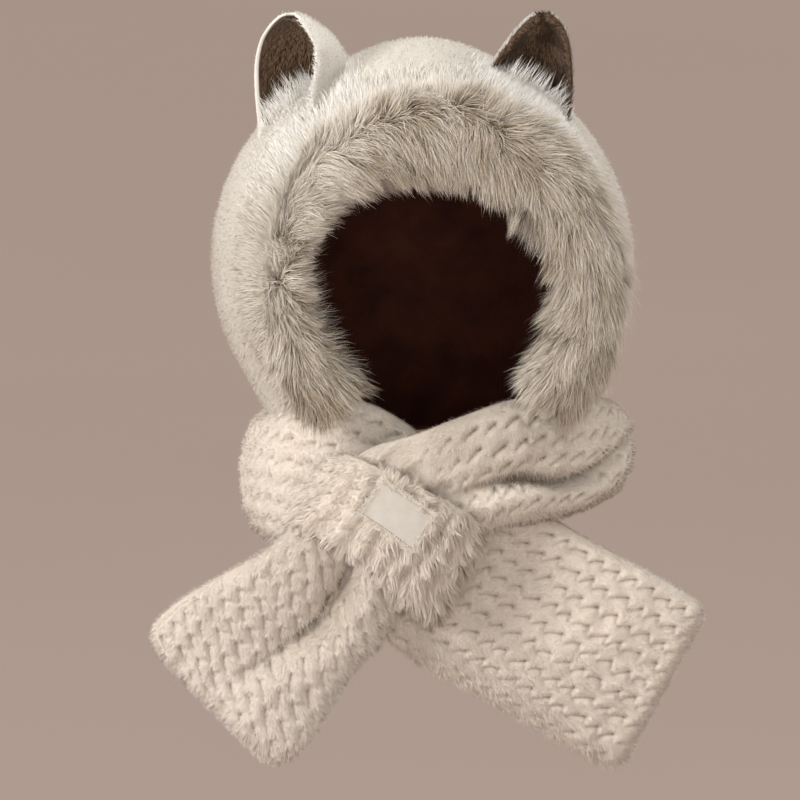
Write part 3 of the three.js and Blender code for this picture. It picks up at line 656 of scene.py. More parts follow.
trim_base = add_object("trim_base", trim_base, trim_cloth, ["fur_trim"])
weight = np.clip(1.35 - np.abs(trim.values["turn"]) / 2.6, 0.05, 1)
roots, normals, found = trim.scatter(TRIM_HAIRS, rng, weight)
flow, more = comb_from(picture(roots), TRIM_COMB)
back = smooth(np.abs(found["turn"]), 1.3, 2.4)
guard = rng.uniform(0, 1, len(roots)) < 0.2
across, angle = found["across"], found["angle"]
inward = np.maximum(smooth(-across, 0.2, 0.8), smooth(np.abs(angle), 112, 126))
even = rng.uniform(0.65, 1.08, len(roots)) * (1 - inward)
spread = even + rng.uniform(0.45, 1.2, len(roots)) * inward
flow = flow + 1.6 * BACK * (back * smooth(across, -0.1, 0.4))[:, None]
length = more[:, 0] * spread * (1 - 0.35 * back) * np.where(guard, 1.25, 1)
# shorter along the left of the opening
thin = smooth(-across, 0.3, 0.9) * smooth(-angle, 45, 70) * (1 - smooth(-angle, 118, 132))
length = length * (1 - 0.45 * thin)
lift = more[:, 1] * rng.uniform(0.8, 1.25, len(roots))
# crossing hairs, most of them at the whorl on the left
whorl = np.exp(-((picture(roots) - WHORL) ** 2).sum(1) / 13 ** 2)
wild = rng.uniform(0, 1, len(roots)) < 0.24 + 0.45 * whorl
wild = wild & (np.abs(found["turn"]) < 1.1) & (np.abs(across) < 0.75)
flow = np.where(wild[:, None], unit(0.5 * flow + rng.normal(0, 0.7, flow.shape)), flow)
lift = np.where(wild, 0.65, lift)
length = np.where(wild, 0.62 * length, length)
fur = hairs(roots, normals, flow, length, lift, rng, 3, sag=0.12, bend=0.75, mess=0.26)
curl = np.stack([wobble(roots, 9, 61), 0.4 * wobble(roots, 9, 62), wobble(roots, 9, 63)], -1)
fur = fur + curl[:, None] * (np.arange(4) / 3)[None, :, None] * 3.0
fur, _ = clump(fur, 13, 0.36, rng, 1.3)
fur, small = clump(fur, 4, np.where(guard, 0.15, 0.42), rng, 1.2)
tone = paleness(picture(fur[:, 1]), TRIM_TONES) + rng.normal(0, 0.16, len(roots))
tone = tone + 0.15 * wobble(roots[small], 8, 11) - 0.10
tone = np.where(guard, 0.35 + 0.6 * tone + 0.15, tone) + 0.2 * wild
width = np.where(guard, 0.45, rng.uniform(0.45, 0.8, len(roots)))
half = rng.permutation(len(roots))
for part, chosen in enumerate(np.array_split(half, 2)):
    add_fur(f"trim_fur_{part + 1}", trim_hair, fur[chosen], normals[chosen],
            width[chosen], tone[chosen], 0.7, part)

# Loose hairs along the edge of the opening
LOOSE_COMB = [
    # x, y in the photograph, way x, way y (down), length, share of the hairs
    [300, 250, .75, -.7, 19, 1], [312, 290, .95, -.4, 24, 1], [325, 320, 1, -.1, 24, 1],
    [345, 350, 1, .1, 23, 1], [362, 380, .9, .35, 20, .8], [330, 205, .9, .2, 17, .5],
    [370, 190, .8, .55, 17, .5], [420, 190, .4, .9, 18, .4], [480, 195, .1, 1, 19, .4],
    [515, 225, -.2, 1, 20, .5], [545, 280, -.8, .5, 15, .4], [530, 350, -.8, .5, 15, .3],
]
LOOSE_HAIRS = 5000
weight = ((np.abs(trim.values["turn"]) < 2.5) & (trim.values["across"] < -0.55)) * 1.0
roots, normals, _ = trim.scatter(LOOSE_HAIRS, rng, weight)
flow, more = comb_from(picture(roots), LOOSE_COMB)
kept = rng.uniform(0, 1, len(roots)) < 0.5 * more[:, 1]
roots, normals, flow, more = roots[kept], normals[kept], flow[kept], more[kept]
length = more[:, 0] * rng.uniform(0.5, 1.1, len(roots))
lift = rng.uniform(0.1, 0.5, len(roots))
loose = hairs(roots, normals, flow, length, lift, rng, 3, sag=0.05, bend=0.9, mess=0.3)
loose, _ = clump(loose, 5, 0.45, rng, 1.4)
tone = np.where(rng.uniform(0, 1, len(roots)) < 0.4, 0.0, 0.85) + rng.normal(0, 0.1, len(roots))
# one pointed lock at the upper right
LOCK_HAIRS = 170
spot = picture(trim.points) - (513, 200)
near = (np.hypot(spot[..., 0], spot[..., 1]) < 15) & (trim.normals[..., 1] < 0.2)
lock_roots, lock_normals, _ = trim.scatter(LOCK_HAIRS, rng, near * 1.0)
tip = seen(60, -136, -140)
rest = np.linspace(0, 1, 4)[None, :, None]
lock_ends = tip + rng.normal(0, 1.4, lock_roots.shape)
lock_ends = lock_ends - unit(tip - lock_roots) * rng.uniform(0, 9, (LOCK_HAIRS, 1))
bow = rest * (1 - rest)
locks = lock_roots[:, None] * (1 - rest) + lock_ends[:, None] * rest + FRONT * 30 * bow
locks = locks + RIGHT * 3 * bow * rng.normal(0, 1, (LOCK_HAIRS, 1, 1))
lock_tone = rng.uniform(0.3, 0.9, LOCK_HAIRS)
loose, normals, tone = joined([loose, normals, tone], [locks, lock_normals, lock_tone])
add_fur("trim_loose", trim_hair, loose, normals, 0.42, tone, 0.6)

# The trim's outer fringe lies over the front of the hood
FRINGE_HAIRS = 11000
front_rings = Surface(bowl_grid(1.0), closed=True, flip=outer.flip)
weight = 1 - smooth(front_rings.points[..., 1], -84, -56)
weight = weight * (front_rings.points[..., 2] > -262)
roots, normals, _ = front_rings.scatter(FRINGE_HAIRS, rng, weight)
flow, more = comb_from(picture(roots), TRIM_COMB)
radial = unit((roots - (8, 0, -150)) * (1, 0, 1))
rightward = smooth(roots[:, 0], 40, 100)[:, None]
over_hood = 0.85 * BACK * (1 - 0.65 * rightward)
flow = unit(flow * (0.35 + 0.6 * rightward) + radial * 0.3 + over_hood)
flow = flow - dot(flow, normals) * normals * (1 - 0.4 * rightward)
length = (13 + 7 * rightward[:, 0]) * rng.uniform(0.6, 1.15, len(roots))
lower_right = smooth(-roots[:, 2], 60, 90) * (roots[:, 0] > 0)
length = length * np.maximum(0.4 + 0.6 * smooth(-normals[:, 1], 0.1, 0.6), lower_right)
lift = 0.22 + 0.16 * rightward[:, 0]
fringe = hairs(roots, normals, flow, length, lift, rng, 3, sag=0.05, bend=0.9, mess=0.16)
fringe, _ = clump(fringe, 6, 0.35, rng, 1.2)
tone = 0.4 + 0.6 * smooth(roots[:, 2], -120, -50) - 0.1 * rightward[:, 0]
tone = tone + rng.normal(0, 0.15, len(roots))
add_fur("trim_fringe", fringe_hair, fringe, normals, 0.6, tone, 0.85)


# Ears

EARS = {
    # rows: height, middle x, half width, depth
    # base: how pale the inner fur is, raised on the left ear as painted light and lowered on the right ear
    # as painted shade; tone: how much paler it gets towards the top
    "left": {
        "turn": math.radians(-42), "flat": (0.13, 0.09), "area": 0.0095, "base": 1.2, "tone": 0.3,
        "rows": [[-66, -96.5, 22, 58], [-48, -97, 25, 61], [-28, -97, 27, 60], [-12, -95.5, 28.5, 52],
                 [2, -94, 26, 38], [12, -94, 18.5, 26], [19, -93.5, 10.5, 13], [22, -93, 4, 5]],
    },
    "right": {
        "turn": math.radians(6), "flat": (0.10, 0.08), "area": 0.0064, "base": 0.28, "tone": 0.1,
        "rows": [[-62, 72, 28, 33], [-42, 73, 29.5, 33], [-24, 74.5, 29, 32], [-12, 77, 26, 29],
                 [-1, 80, 22, 25], [9, 82.5, 17, 20], [17, 84, 11, 13], [22, 84.5, 4.5, 6]],
    },
}
EAR_Y = -42


def ear_grid(ear, off, inset=0.0, levels=40, around=36):
    """Points of the ear's sheet, off mm to its hollow side."""
    level = np.linspace(0, 1 - 2 * inset, levels)
    height, x, half, depth = row_at(ear["rows"], level * (len(ear["rows"]) - 1)).T[:, :, None]
    bend = (np.linspace(inset, 1 - inset, around)[None, :] - 0.5) * math.pi
    a, b = half * np.sin(bend), depth * np.cos(bend)
    cos, sin = math.cos(ear["turn"]), math.sin(ear["turn"])
    foot = seen(x, height, np.full_like(x, EAR_Y))
    points = np.concatenate([foot[..., :1] + (a * cos - b * sin)[..., None],
                             EAR_Y + (a * sin + b * cos)[..., None],
                             np.broadcast_to(foot[..., 2:], a.shape + (1,))], -1)
    surface = facing(Surface(points), foot - points)
    return Surface(points + surface.normals * off, flip=surface.flip)


ear_cloth = cloth_material("ear_cloth", (224, 218, 208), (232, 227, 218), 60, 0.3)
TUFTS = {
    # ends of the strip (x, y, height seen), its rise, the way of the hairs in the picture, their length
    "left": ((-115, -26, -60), (-73, -24, -25), 4, (-0.50, -0.86), 24),
    "right": ((45, -41, -17), (103, -41, -50), 3.5, (0.60, -0.80), 24),
}
# fluff on the hood in front of the ears: lowest and highest x and y
FLUFF = {"left": (-124, -46, -80, -20), "right": (40, 108, -74, -36)}
EAR_HAIRS, SOFT_HAIRS, INNER_HAIRS, EDGE_HAIRS, TUFT_HAIRS, FLUFF_HAIRS = 6000, 900, 7500, 3500, 480, 1900
for side, ear in EARS.items():
    name, inner_node, tuft_node = f"ear_{side}", f"ear_{side}_inner", f"ear_{side}_tuft"
    plush = sheet_mesh(f"{name}_plush", ear_grid(ear, -0.2), ear_grid(ear, -1.9))
    plush = add_object(f"{name}_plush", plush, ear_cloth, [name])
    outside = ear_grid(ear, -1.9)
    outside = Surface(outside.points, flip=not outside.flip)
    roots, normals, _ = outside.scatter(EAR_HAIRS, rng)
    flow = np.array([0, 0.5, 0.9]) + 0.2 * normals
    pile = hairs(roots, normals, flow, rng.uniform(1.8, 2.8, len(roots)), 0.4, rng, 1, mess=0.25)
    tone = 0.5 + rng.normal(0, 0.12, len(pile))
    if side == "left":
        # softer hairs along the edge that faces the viewer
        both = ear_grid(ear, -1.0).points
        edge = both[:, 0] if both[:, 0, 0].mean() > both[:, -1, 0].mean() else both[:, -1]
        roots = edge[rng.integers(2, len(edge) - 6, SOFT_HAIRS)] + rng.normal(0, 0.6, (SOFT_HAIRS, 3))
        soft_normals = np.tile(unit(FRONT - 0.5 * RIGHT), (SOFT_HAIRS, 1))
        flow = np.tile(0.7 * UP - 0.5 * RIGHT, (SOFT_HAIRS, 1))
        length = rng.uniform(2, 5, SOFT_HAIRS)
        soft = hairs(roots, soft_normals, flow, length, 0.2, rng, 1, mess=0.35)
        soft_tone = 0.8 + rng.normal(0, 0.1, SOFT_HAIRS)
        pile, normals, tone = joined([pile, normals, tone], [soft, soft_normals, soft_tone])
    add_fur(f"{name}_pile", white_hair, pile, normals, 0.6, tone)

    inset = 0.012
    hollow = ear_grid(ear, 1.6, inset)
    cloth = sheet_mesh(f"{name}_lining", hollow, ear_grid(ear, 0.3, inset))
    cloth = add_object(f"{name}_lining", cloth, brown_cloth, [inner_node])
    roots, normals, _ = hollow.scatter(INNER_HAIRS, rng)
    flow = np.array([0, -0.35, 1.0]) + 0.1 * normals
    length = rng.uniform(3.5, 6.5, len(roots))
    short = hairs(roots, normals, flow, length, 0.38, rng, 2, mess=0.14)
    short, _ = clump(short, 4, 0.35, rng)
    # the base paleness is painted light on the left ear and painted shade on the right ear
    tone = ear["base"] + 0.3 * wobble(roots, 22, 21) + rng.normal(0, 0.2, len(roots))
    tone = tone + ear["tone"] * (roots[:, 2] + 10) / 40
    if side == "right":
        # a bound edge of brown fur
        rims = ear_grid(ear, -0.2).points
        path = np.concatenate([rims[:-1, 0], rims[-1], rims[-2::-1, -1]])
        way = unit(np.gradient(path, axis=0))[:, None]
        ahead = unit(np.cross(way, np.array([0.3, 1.0, 0.2])))
        aside = np.cross(way, ahead)
        ring = circle(10)[None, :, None]
        binding = path[:, None] + 1.4 * (np.cos(ring) * ahead + np.sin(ring) * aside)
        binding = facing(Surface(binding, closed=True), binding - path[:, None])
        add_object(f"{name}_rim", tube_mesh(f"{name}_rim", binding), brown_cloth)
        edge, edge_normals, _ = binding.scatter(EDGE_HAIRS, rng)
        flow = 0.7 * unit(path.mean(0) + 6 * FRONT - edge) + 0.5 * UP
        length = rng.uniform(2.5, 5, len(edge))
        edge_hairs = hairs(edge, edge_normals, flow, length, 0.4, rng, 2, mess=0.3)
        edge_tone = 0.4 + rng.normal(0, 0.2, len(edge))
        short, normals, tone = joined([short, normals, tone], [edge_hairs, edge_normals, edge_tone])
    add_fur(f"{name}_fur", brown_hair, short, normals, 0.6, tone, 0.8)

    start, end, arch, way, long = TUFTS[side]
    a, b = (seen(x, height, y) for x, y, height in (start, end))
    strip = np.linspace(0, 1, 30)[:, None, None]
    around = circle(14)[None, :, None]
    thick = 1.8 * (0.45 + 0.55 * np.sin(math.pi * strip))
    tube = a + (b - a) * strip + (arch * np.sin(math.pi * strip) - 2) * UP
    tube = tube + thick * (np.cos(around) * BACK + np.sin(around) * UP)
    tape = facing(Surface(tube, closed=True), tube - tube.mean(1, keepdims=True))
    tape = tube_mesh(f"{name}_tuft_tape", tape)
    add_object(f"{name}_tuft_tape", tape, plush_cloth, [tuft_node])
    share = rng.uniform(-0.02, 1.02, (TUFT_HAIRS, 1))
    low = -2 - rng.uniform(0, 1, (TUFT_HAIRS, 1)) * 6
    roots = a + (b - a) * share + (arch * np.sin(math.pi * np.clip(share, 0, 1)) + low) * UP
    roots = roots + rng.normal(0, 1.4, (TUFT_HAIRS, 3)) * (1, 2, 1)
    fan = (share - 0.5) * 0.3
    if side == "left":
        fan = np.maximum((share - 0.5) * 0.45, 0.5 - 3 * share)
    flow = way[0] * RIGHT - way[1] * UP + fan * RIGHT + FRONT * 0.15
    normals = np.tile(unit(FRONT + 0.4 * UP), (TUFT_HAIRS, 1))
    reach = long * rng.uniform(0.4, 1.15, TUFT_HAIRS) * (0.55 + 0.45 * smooth(share[:, 0], 0, 0.25))
    reach = reach * (0.6 + 0.4 * smooth(1 - share[:, 0], 0, 0.2))
    tuft = hairs(roots, normals, flow, reach, 0.2, rng, 3, bend=0.9, mess=0.24)
    tuft, _ = clump(tuft, 4.2, 0.6, rng, 1.3)
    # no tip reaches past the ear's outline
    tips = tuft[:, -1, 0]
    kept = (tips > -117) & (tips < 107)
    tuft, normals = tuft[kept], normals[kept]
    x0, x1, y0, y1 = FLUFF[side]
    x, y, z = np.moveaxis(front_rings.points, -1, 0)
    inside = (x > x0) & (x < x1) & (y > y0) & (y < y1) & (z > -100)
    roots, fluff_normals, _ = front_rings.scatter(FLUFF_HAIRS, rng, inside * 1.0)
    x, y = roots[:, 0], roots[:, 1]
    aside = way[0] * (1 - smooth(x, -84, -64) * (side == "left"))[:, None]
    flow = aside * RIGHT - way[1] * UP + 0.5 * BACK
    if side == "left":
        reach = 4 + 7 * smooth(-y, 46, 66) + 6 * smooth(x, -82, -66)
    else:
        reach = 7 + 4 * smooth(-y, 46, 60)
    reach = reach * (1 - 0.5 * np.maximum(smooth(-x, 98, 112), smooth(x, 88, 102)))
    reach = reach * rng.uniform(0.5, 1.1, len(roots))
    fluff = hairs(roots, fluff_normals, flow, reach, 0.3, rng, 3, bend=0.8, mess=0.25)
    fluff, _ = clump(fluff, 4, 0.35, rng, 1.3)
    tuft, normals = joined([tuft, normals], [fluff, fluff_normals])
    tone = 0.85 + rng.normal(0, 0.15, len(tuft))
    add_fur(f"{name}_tuft_fur", white_hair, tuft, normals, 0.4, tone, 0.8)


# Scarf

SCARF_ROWS = [
    # upper edge x, height, y, lower edge x, height, y, thickness, crease place, crease depth
    [-186, -424, -127, -103, -511, -126, 21, -.1, 0], [-191, -406, -128, -80, -486, -126, 21, -.1, 3],
    [-178, -391, -129, -64, -462, -126, 22, .1, 8], [-164, -381, -130, -52, -441, -126, 24, .2, 12],
    [-150, -373, -131, -40, -428, -126, 25, .24, 17], [-136, -365, -132, -31, -419, -127, 26, .22, 20],
    [-121, -357, -133, -25, -410, -128, 26, .14, 21], [-105, -346, -134, -20, -402, -129, 26, .1, 21],
    [-89, -329, -134, -14, -391, -130, 25, 0, 19], [-73, -309, -133, -4, -380, -130, 24, -.05, 9],
    [-55, -291, -132, 8, -373, -130, 24, 0, 0], [-35, -278, -131, 24, -359, -130, 26, 0, 0],
    [-6, -269, -128, 38, -347, -130, 28, .1, 5], [23, -258, -124, 52, -338, -130, 30, .2, 11],
    [54, -247, -112, 71, -334, -121, 34, .24, 22], [86, -241, -92, 92, -331, -103, 38, .4, 18],
    [112, -241, -64, 108, -325, -74, 43, .22, 17], [127, -245, -32, 116, -319, -36, 46, -.25, 10],
    [130, -246, 6, 116, -317, 6, 46, -.5, 3], [121, -244, 44, 110, -314, 46, 42, -.4, 0],
    [94, -239, 80, 88, -311, 84, 38, 0, 0], [52, -235, 105, 50, -310, 109, 36, 0, 0],
    [4, -234, 114, 4, -311, 118, 36, 0, 0], [-44, -236, 105, -44, -314, 109, 36, 0, 0],
    [-82, -241, 79, -82, -321, 82, 37, 0, 0], [-102, -248, 44, -105, -331, 45, 39, 0, 0],
    [-107, -255, 6, -110, -340, 4, 40, 0, 0], [-99, -252, -30, -106, -346, -32, 38, 0, 0],
    [-86, -248, -57, -97, -354, -60, 33, 0, 0], [-64, -246, -76, -83, -365, -77, 28, 0, 0],
    [-38, -247, -86, -65, -379, -87, 24, 0, 0], [-10, -262, -91, -46, -396, -92, 22, 0, 0],
    [20, -285, -94, -31, -411, -95, 21, 0, 0], [50, -304, -97, -17, -424, -97, 21, 0, 0],
    [78, -320, -98, 10, -440, -98, 21, 0, 0], [106, -336, -98, 39, -455, -98, 21, 0, 0],
    [143, -357, -98, 75, -476, -98, 21, 0, 0], [170, -372, -98, 103, -492, -98, 21, 0, 0],
    [204, -392, -98, 138, -511, -98, 21, 0, 0],
]
STRAP_ROWS = [
    [-51, -287, -112, -92, -338, -113, 11, 0, 0], [-54, -284, -126, -94, -336, -127, 14, 0, 0],
    [-48, -284, -142, -87, -339, -143, 15, 0, 0], [-31, -291, -152, -70, -348, -152, 15, 0, 0],
    [-8, -302, -155, -46, -362, -155, 15, 0, 0], [17, -315, -154, -23, -378, -154, 15, 0, 0],
    [34, -324, -147, -7, -392, -148, 15, 0, 0], [42, -331, -133, 4, -399, -134, 14, 0, 0],
    [41, -331, -116, 3, -399, -117, 11, 0, 0],
]
PITCH = (13.4, 14.6)  # of the weave, along and across


def band_edges(table, place):
    x0, height0, y0, x1, height1, y1 = row_at(table, place).T[:6]
    return seen(x0, height0, y0), seen(x1, height1, y1)


def band_frames(table, place):
    """The band's middle, its way across and out, its thickness, and its crease's place and depth."""
    before = sum(band_edges(table, np.maximum(place - 0.02, 0)))
    after = sum(band_edges(table, np.minimum(place + 0.02, len(table) - 1)))
    upper, lower = band_edges(table, place)
    across = lower - upper
    thick, at, deep = row_at(table, place).T[6:]
    return {"centre": (upper + lower) / 2, "across": across, "thick": thick, "at": at, "deep": deep,
            "normal": unit(np.cross(across, unit(after - before)))}


def weave(along, across, line, points):
    """Distances in mm to the nearest crease and the nearest dimple of the weave."""
    along = along + 1.1 * wobble(points, 30, 31)
    across = across + 1.1 * wobble(points, 30, 32)
    cell = np.floor(along / PITCH[0]), np.floor(across / PITCH[1])
    line = np.array(line)
    short = np.array([0.1 * line[0] + 0.42 * line[1], 0.1 * line[1] - 0.42 * line[0]])
    crease = np.full(along.shape, 99.0)
    dimple = np.full(along.shape, 99.0)
    for i in (-1, 0, 1, 2):
        for k in (-1, 0, 1, 2):
            dx = along - (cell[0] + i) * PITCH[0]
            dy = across - (cell[1] + k) * PITCH[1]
            t = np.clip((dx * line[0] + dy * line[1]) / (line @ line), 0, 1)
            bow = 0.6 * np.sin(t * math.pi)
            crease = np.minimum(crease, np.hypot(dx - t * line[0], dy - t * line[1] + bow) + 0.5 * t)
            u = np.clip((dx * short[0] + dy * short[1]) / (short @ short), 0, 1)
            crease = np.minimum(crease, np.hypot(dx - u * short[0], dy - u * short[1]) + 0.55 + 0.6 * u)
            dimple = np.minimum(dimple, np.hypot(dx, dy))
    return crease, dimple


def band_surface(table, start, end, step, front, back, roundness, even, inset, line, depth,
                 rounded=(0, 0), fold=(0.62, 0.2), waves=(0, 1)):
    """A woven band between two row places, with a lengthwise fold, and rounded at its free end."""
    fine = np.linspace(start, end, 1600)
    middles = band_frames(table, fine)["centre"]
    length = np.concatenate([[0], np.cumsum(np.linalg.norm(np.diff(middles, axis=0), axis=1))])
    total = length[-1]
    near = np.array([inset + 0.1, inset + 0.6, inset + 1.6, inset + 3])
    distance = np.arange(inset + 5 if rounded[0] else 0, total - (inset + 5 if rounded[1] else 0), step)
    if rounded[0]:
        distance = np.concatenate([near, distance])
    if rounded[1]:
        distance = np.concatenate([distance, (total - near)[::-1]])
    else:
        distance = np.concatenate([distance, [total]])
    place = np.interp(distance, length, fine)
    f = band_frames(table, place)
    to_end = np.full(len(distance), 999.0)
    if rounded[0]:
        to_end = np.minimum(to_end, distance - inset)
    if rounded[1]:
        to_end = np.minimum(to_end, total - distance - inset)
    short = np.clip(1 - to_end / 15, 0, 1)
    corner = 15 * (1 - np.sqrt(1 - short ** 2))
    blunt = np.sqrt(1 - np.clip(1 - to_end / 10, 0, 1) ** 2)
    half = np.linalg.norm(f["across"], axis=1) / 2
    width = (half - corner - inset)[:, None]
    k = np.concatenate([np.linspace(-1, 1, front, False), np.linspace(1, -1, back, False)])
    s = (even * k + (1 - even) * np.sin(k * math.pi / 2))[None, :]
    face = np.concatenate([np.ones(front), -np.ones(back)])[None, :]
    bulge = np.sqrt(np.clip(1 - np.abs(s) ** roundness, 0, 1))
    high = (f["thick"] * blunt / 2 - inset)[:, None].clip(1) * bulge
    side = s - f["at"][:, None]
    deep = f["deep"][:, None]
    roll = 1 - np.sqrt(1 - np.clip(1 + side / fold[0], 0, 1) ** 2)
    groove = np.where(side < 0, roll, near_zero(side, fold[1])) * deep * bulge * (face > 0)
    groove = np.minimum(groove, high + f["thick"][:, None] / 2 - 5)
    lip = 0.28 * near_zero(side - 0.42, 0.24) * deep * bulge * (face > 0)
    high = high - groove + lip
    flat = f["centre"][:, None] + unit(f["across"])[:, None] * (s * width)[..., None]
    points = flat + f["normal"][:, None] * (face * high)[..., None]
    crease, dimple = weave(distance[:, None], s * width, line, points)
    inner = np.clip((1 - np.abs(s)) * width / 8, 0, 1) * np.clip(to_end / 10, 0, 1)[:, None]
    relief = 1.7 * smooth(crease, 0, 4.5) - near_zero(dimple, 1.5) - 1.25 * near_zero(crease, 1)
    pinch = (smooth(place, 7.4, 9.2) * (1 - smooth(place, 11.2, 13.5)))[:, None] * (face > 0)
    folds = np.sin(s * width * 2 * math.pi / 15 + 1.2 * wobble(points, 70, 43))
    relief = relief * inner * depth * (1 - 0.6 * pinch) + 0.6 * wobble(points, 26, 41) + 1.9 * pinch * folds
    ridges = np.sin(distance[:, None] * 2 * math.pi / waves[1] + 1.6 * wobble(points, 60, 44))
    relief = relief + waves[0] * ridges * inner * (face > 0)
    points = points + f["normal"][:, None] * (face * relief)[..., None]
    # painted shade in the weave's creases and dimples
    dark = 0.75 * near_zero(crease, 1) + 0.25 * near_zero(dimple, 1.3)
    dark = np.clip(dark, 0, 1) * inner * (1 - 0.5 * pinch)
    # painted shade along the bottom of the fold
    shade = near_zero(side, 0.06) * np.clip(deep / 18, 0, 1) * (face > 0)
    dark = np.maximum(dark, 0.85 * shade)
    # painted shade in the valleys between the strap's ridges
    valley_shade = np.clip(-ridges, 0, 1) ** 2 * (face > 0) * min(waves[0], 1)
    values = {"crease": dark, "space": crease + (1 - inner) * 9, "groove": shade,
              "face": np.broadcast_to(face, dark.shape), "shade": np.maximum(shade, valley_shade)}
    return facing(Surface(points, closed=True, **values), points - points.mean(1, keepdims=True))


SCARF_COMB = [
    # x, y in the photograph, way x, way y (down), length, lift
    # right end
    [600, 570, -.9, -.2, 6, .5], [660, 600, .4, -.6, 6, .5], [560, 620, -.9, .1, 6, .5],
    [500, 600, -.8, .2, 6, .5], [640, 660, .6, -.3, 6, .5], [600, 700, .6, .3, 7, .5],
    [436, 652, .5, .85, 14, .3], [480, 684, .6, .8, 14, .3], [540, 722, .6, .8, 14, .3],
    [600, 756, .6, .8, 13, .3], [455, 630, .3, .6, 6, .4], [500, 658, .2, .6, 6, .45],
    [560, 697, .2, .5, 6, .45], [610, 728, .4, .4, 6, .45], [700, 620, .9, .3, 7, .45],
    [660, 715, .9, .3, 7, .45], [520, 560, -.6, .4, 6, .5], [560, 545, -.8, .1, 5, .5],
    # left end
    [180, 640, -.5, .7, 6, .5], [230, 600, -.3, .95, 6, .5], [280, 570, -.25, .95, 7, .5],
    [320, 560, -.1, 1, 8, .5], [250, 650, -.2, .95, 6, .5], [300, 600, -.2, .95, 7, .5],
    [300, 660, .1, 1, 7, .5], [350, 620, .35, .9, 8, .5], [330, 700, .6, .7, 8, .45],
    [370, 650, .7, .6, 8, .45], [270, 730, -.1, 1, 8, .45], [230, 710, -.6, .6, 7, .45],
    # neck, from left to right
    [250, 480, -.5, .8, 3.5, .5], [260, 440, -.6, .5, 3.5, .5], [290, 430, -.1, .95, 4, .5],
    [275, 500, -.4, .8, 4, .5], [320, 440, .1, 1, 5, .45], [370, 410, .4, .85, 6, .45],
    [395, 425, .5, .8, 6, .45], [410, 450, -.85, .5, 8, .4], [360, 465, -.85, .5, 9, .38],
    [320, 500, -.8, .6, 9, .38], [290, 535, -.75, .65, 9, .38], [440, 430, -.4, .8, 6, .45],
    [480, 430, -.2, .95, 5.5, .45], [530, 420, .1, 1, 5.5, .45], [580, 420, .3, .9, 6, .45],
    [620, 420, .7, .5, 6, .5], [635, 450, .9, .2, 6, .5], [600, 470, .5, .85, 6, .45],
    [550, 500, .2, .95, 7, .45], [500, 500, 0, 1, 8, .45], [460, 480, -.3, .9, 8, .45],
]
SCARF_PAINTED_LIGHT_AND_SHADE = [
    # x, y in the photograph, how much paler the pile is painted there: painted light towards the lit left,
    # painted shade (below zero) round the crossing under the hood
    [250, 450, .6], [265, 500, .2], [300, 430, .3], [360, 415, -.1], [395, 430, -.3], [450, 440, -1.5],
    [400, 455, -.9], [500, 440, -1], [540, 430, -.7], [600, 425, .2], [625, 450, .2], [540, 505, -.15],
    [480, 500, -.3], [330, 500, -.1], [300, 530, 0], [180, 620, .3], [250, 590, .3], [320, 560, 0],
    [240, 690, .9], [290, 680, 1], [340, 640, .7], [370, 610, .3], [280, 750, .4], [470, 580, -.1],
    [560, 560, .05], [620, 600, .05], [560, 650, .05], [680, 640, -.05], [620, 740, -.05], [450, 640, 0],
    [520, 620, 0],
]
STRAP_COMB = [
    [340, 500, -.8, .55, 6, .45], [370, 470, -.7, .5, 5, .5], [325, 535, -.7, .75, 10, .35],
    [300, 505, -.8, .6, 11, .3], [290, 530, -.75, .65, 12, .3], [320, 556, -.6, .8, 14, .3],
    [350, 575, -.3, .95, 15, .3], [360, 550, -.3, .95, 11, .35], [395, 570, -.05, 1, 15, .35],
    [420, 550, .05, 1, 16, .35], [445, 530, .12, 1, 15, .35], [455, 505, .2, .95, 12, .35],
    [430, 490, .2, .5, 6, .45], [405, 475, .3, -.9, 10, .3], [378, 464, -.1, -.95, 9, .3],
    [440, 492, .6, -.7, 10, .3], [460, 560, .1, 1, 17, .25], [400, 600, 0, 1, 18, .25],
    [430, 590, .05, 1, 18, .25], [350, 520, -.6, .75, 7, .4],
]


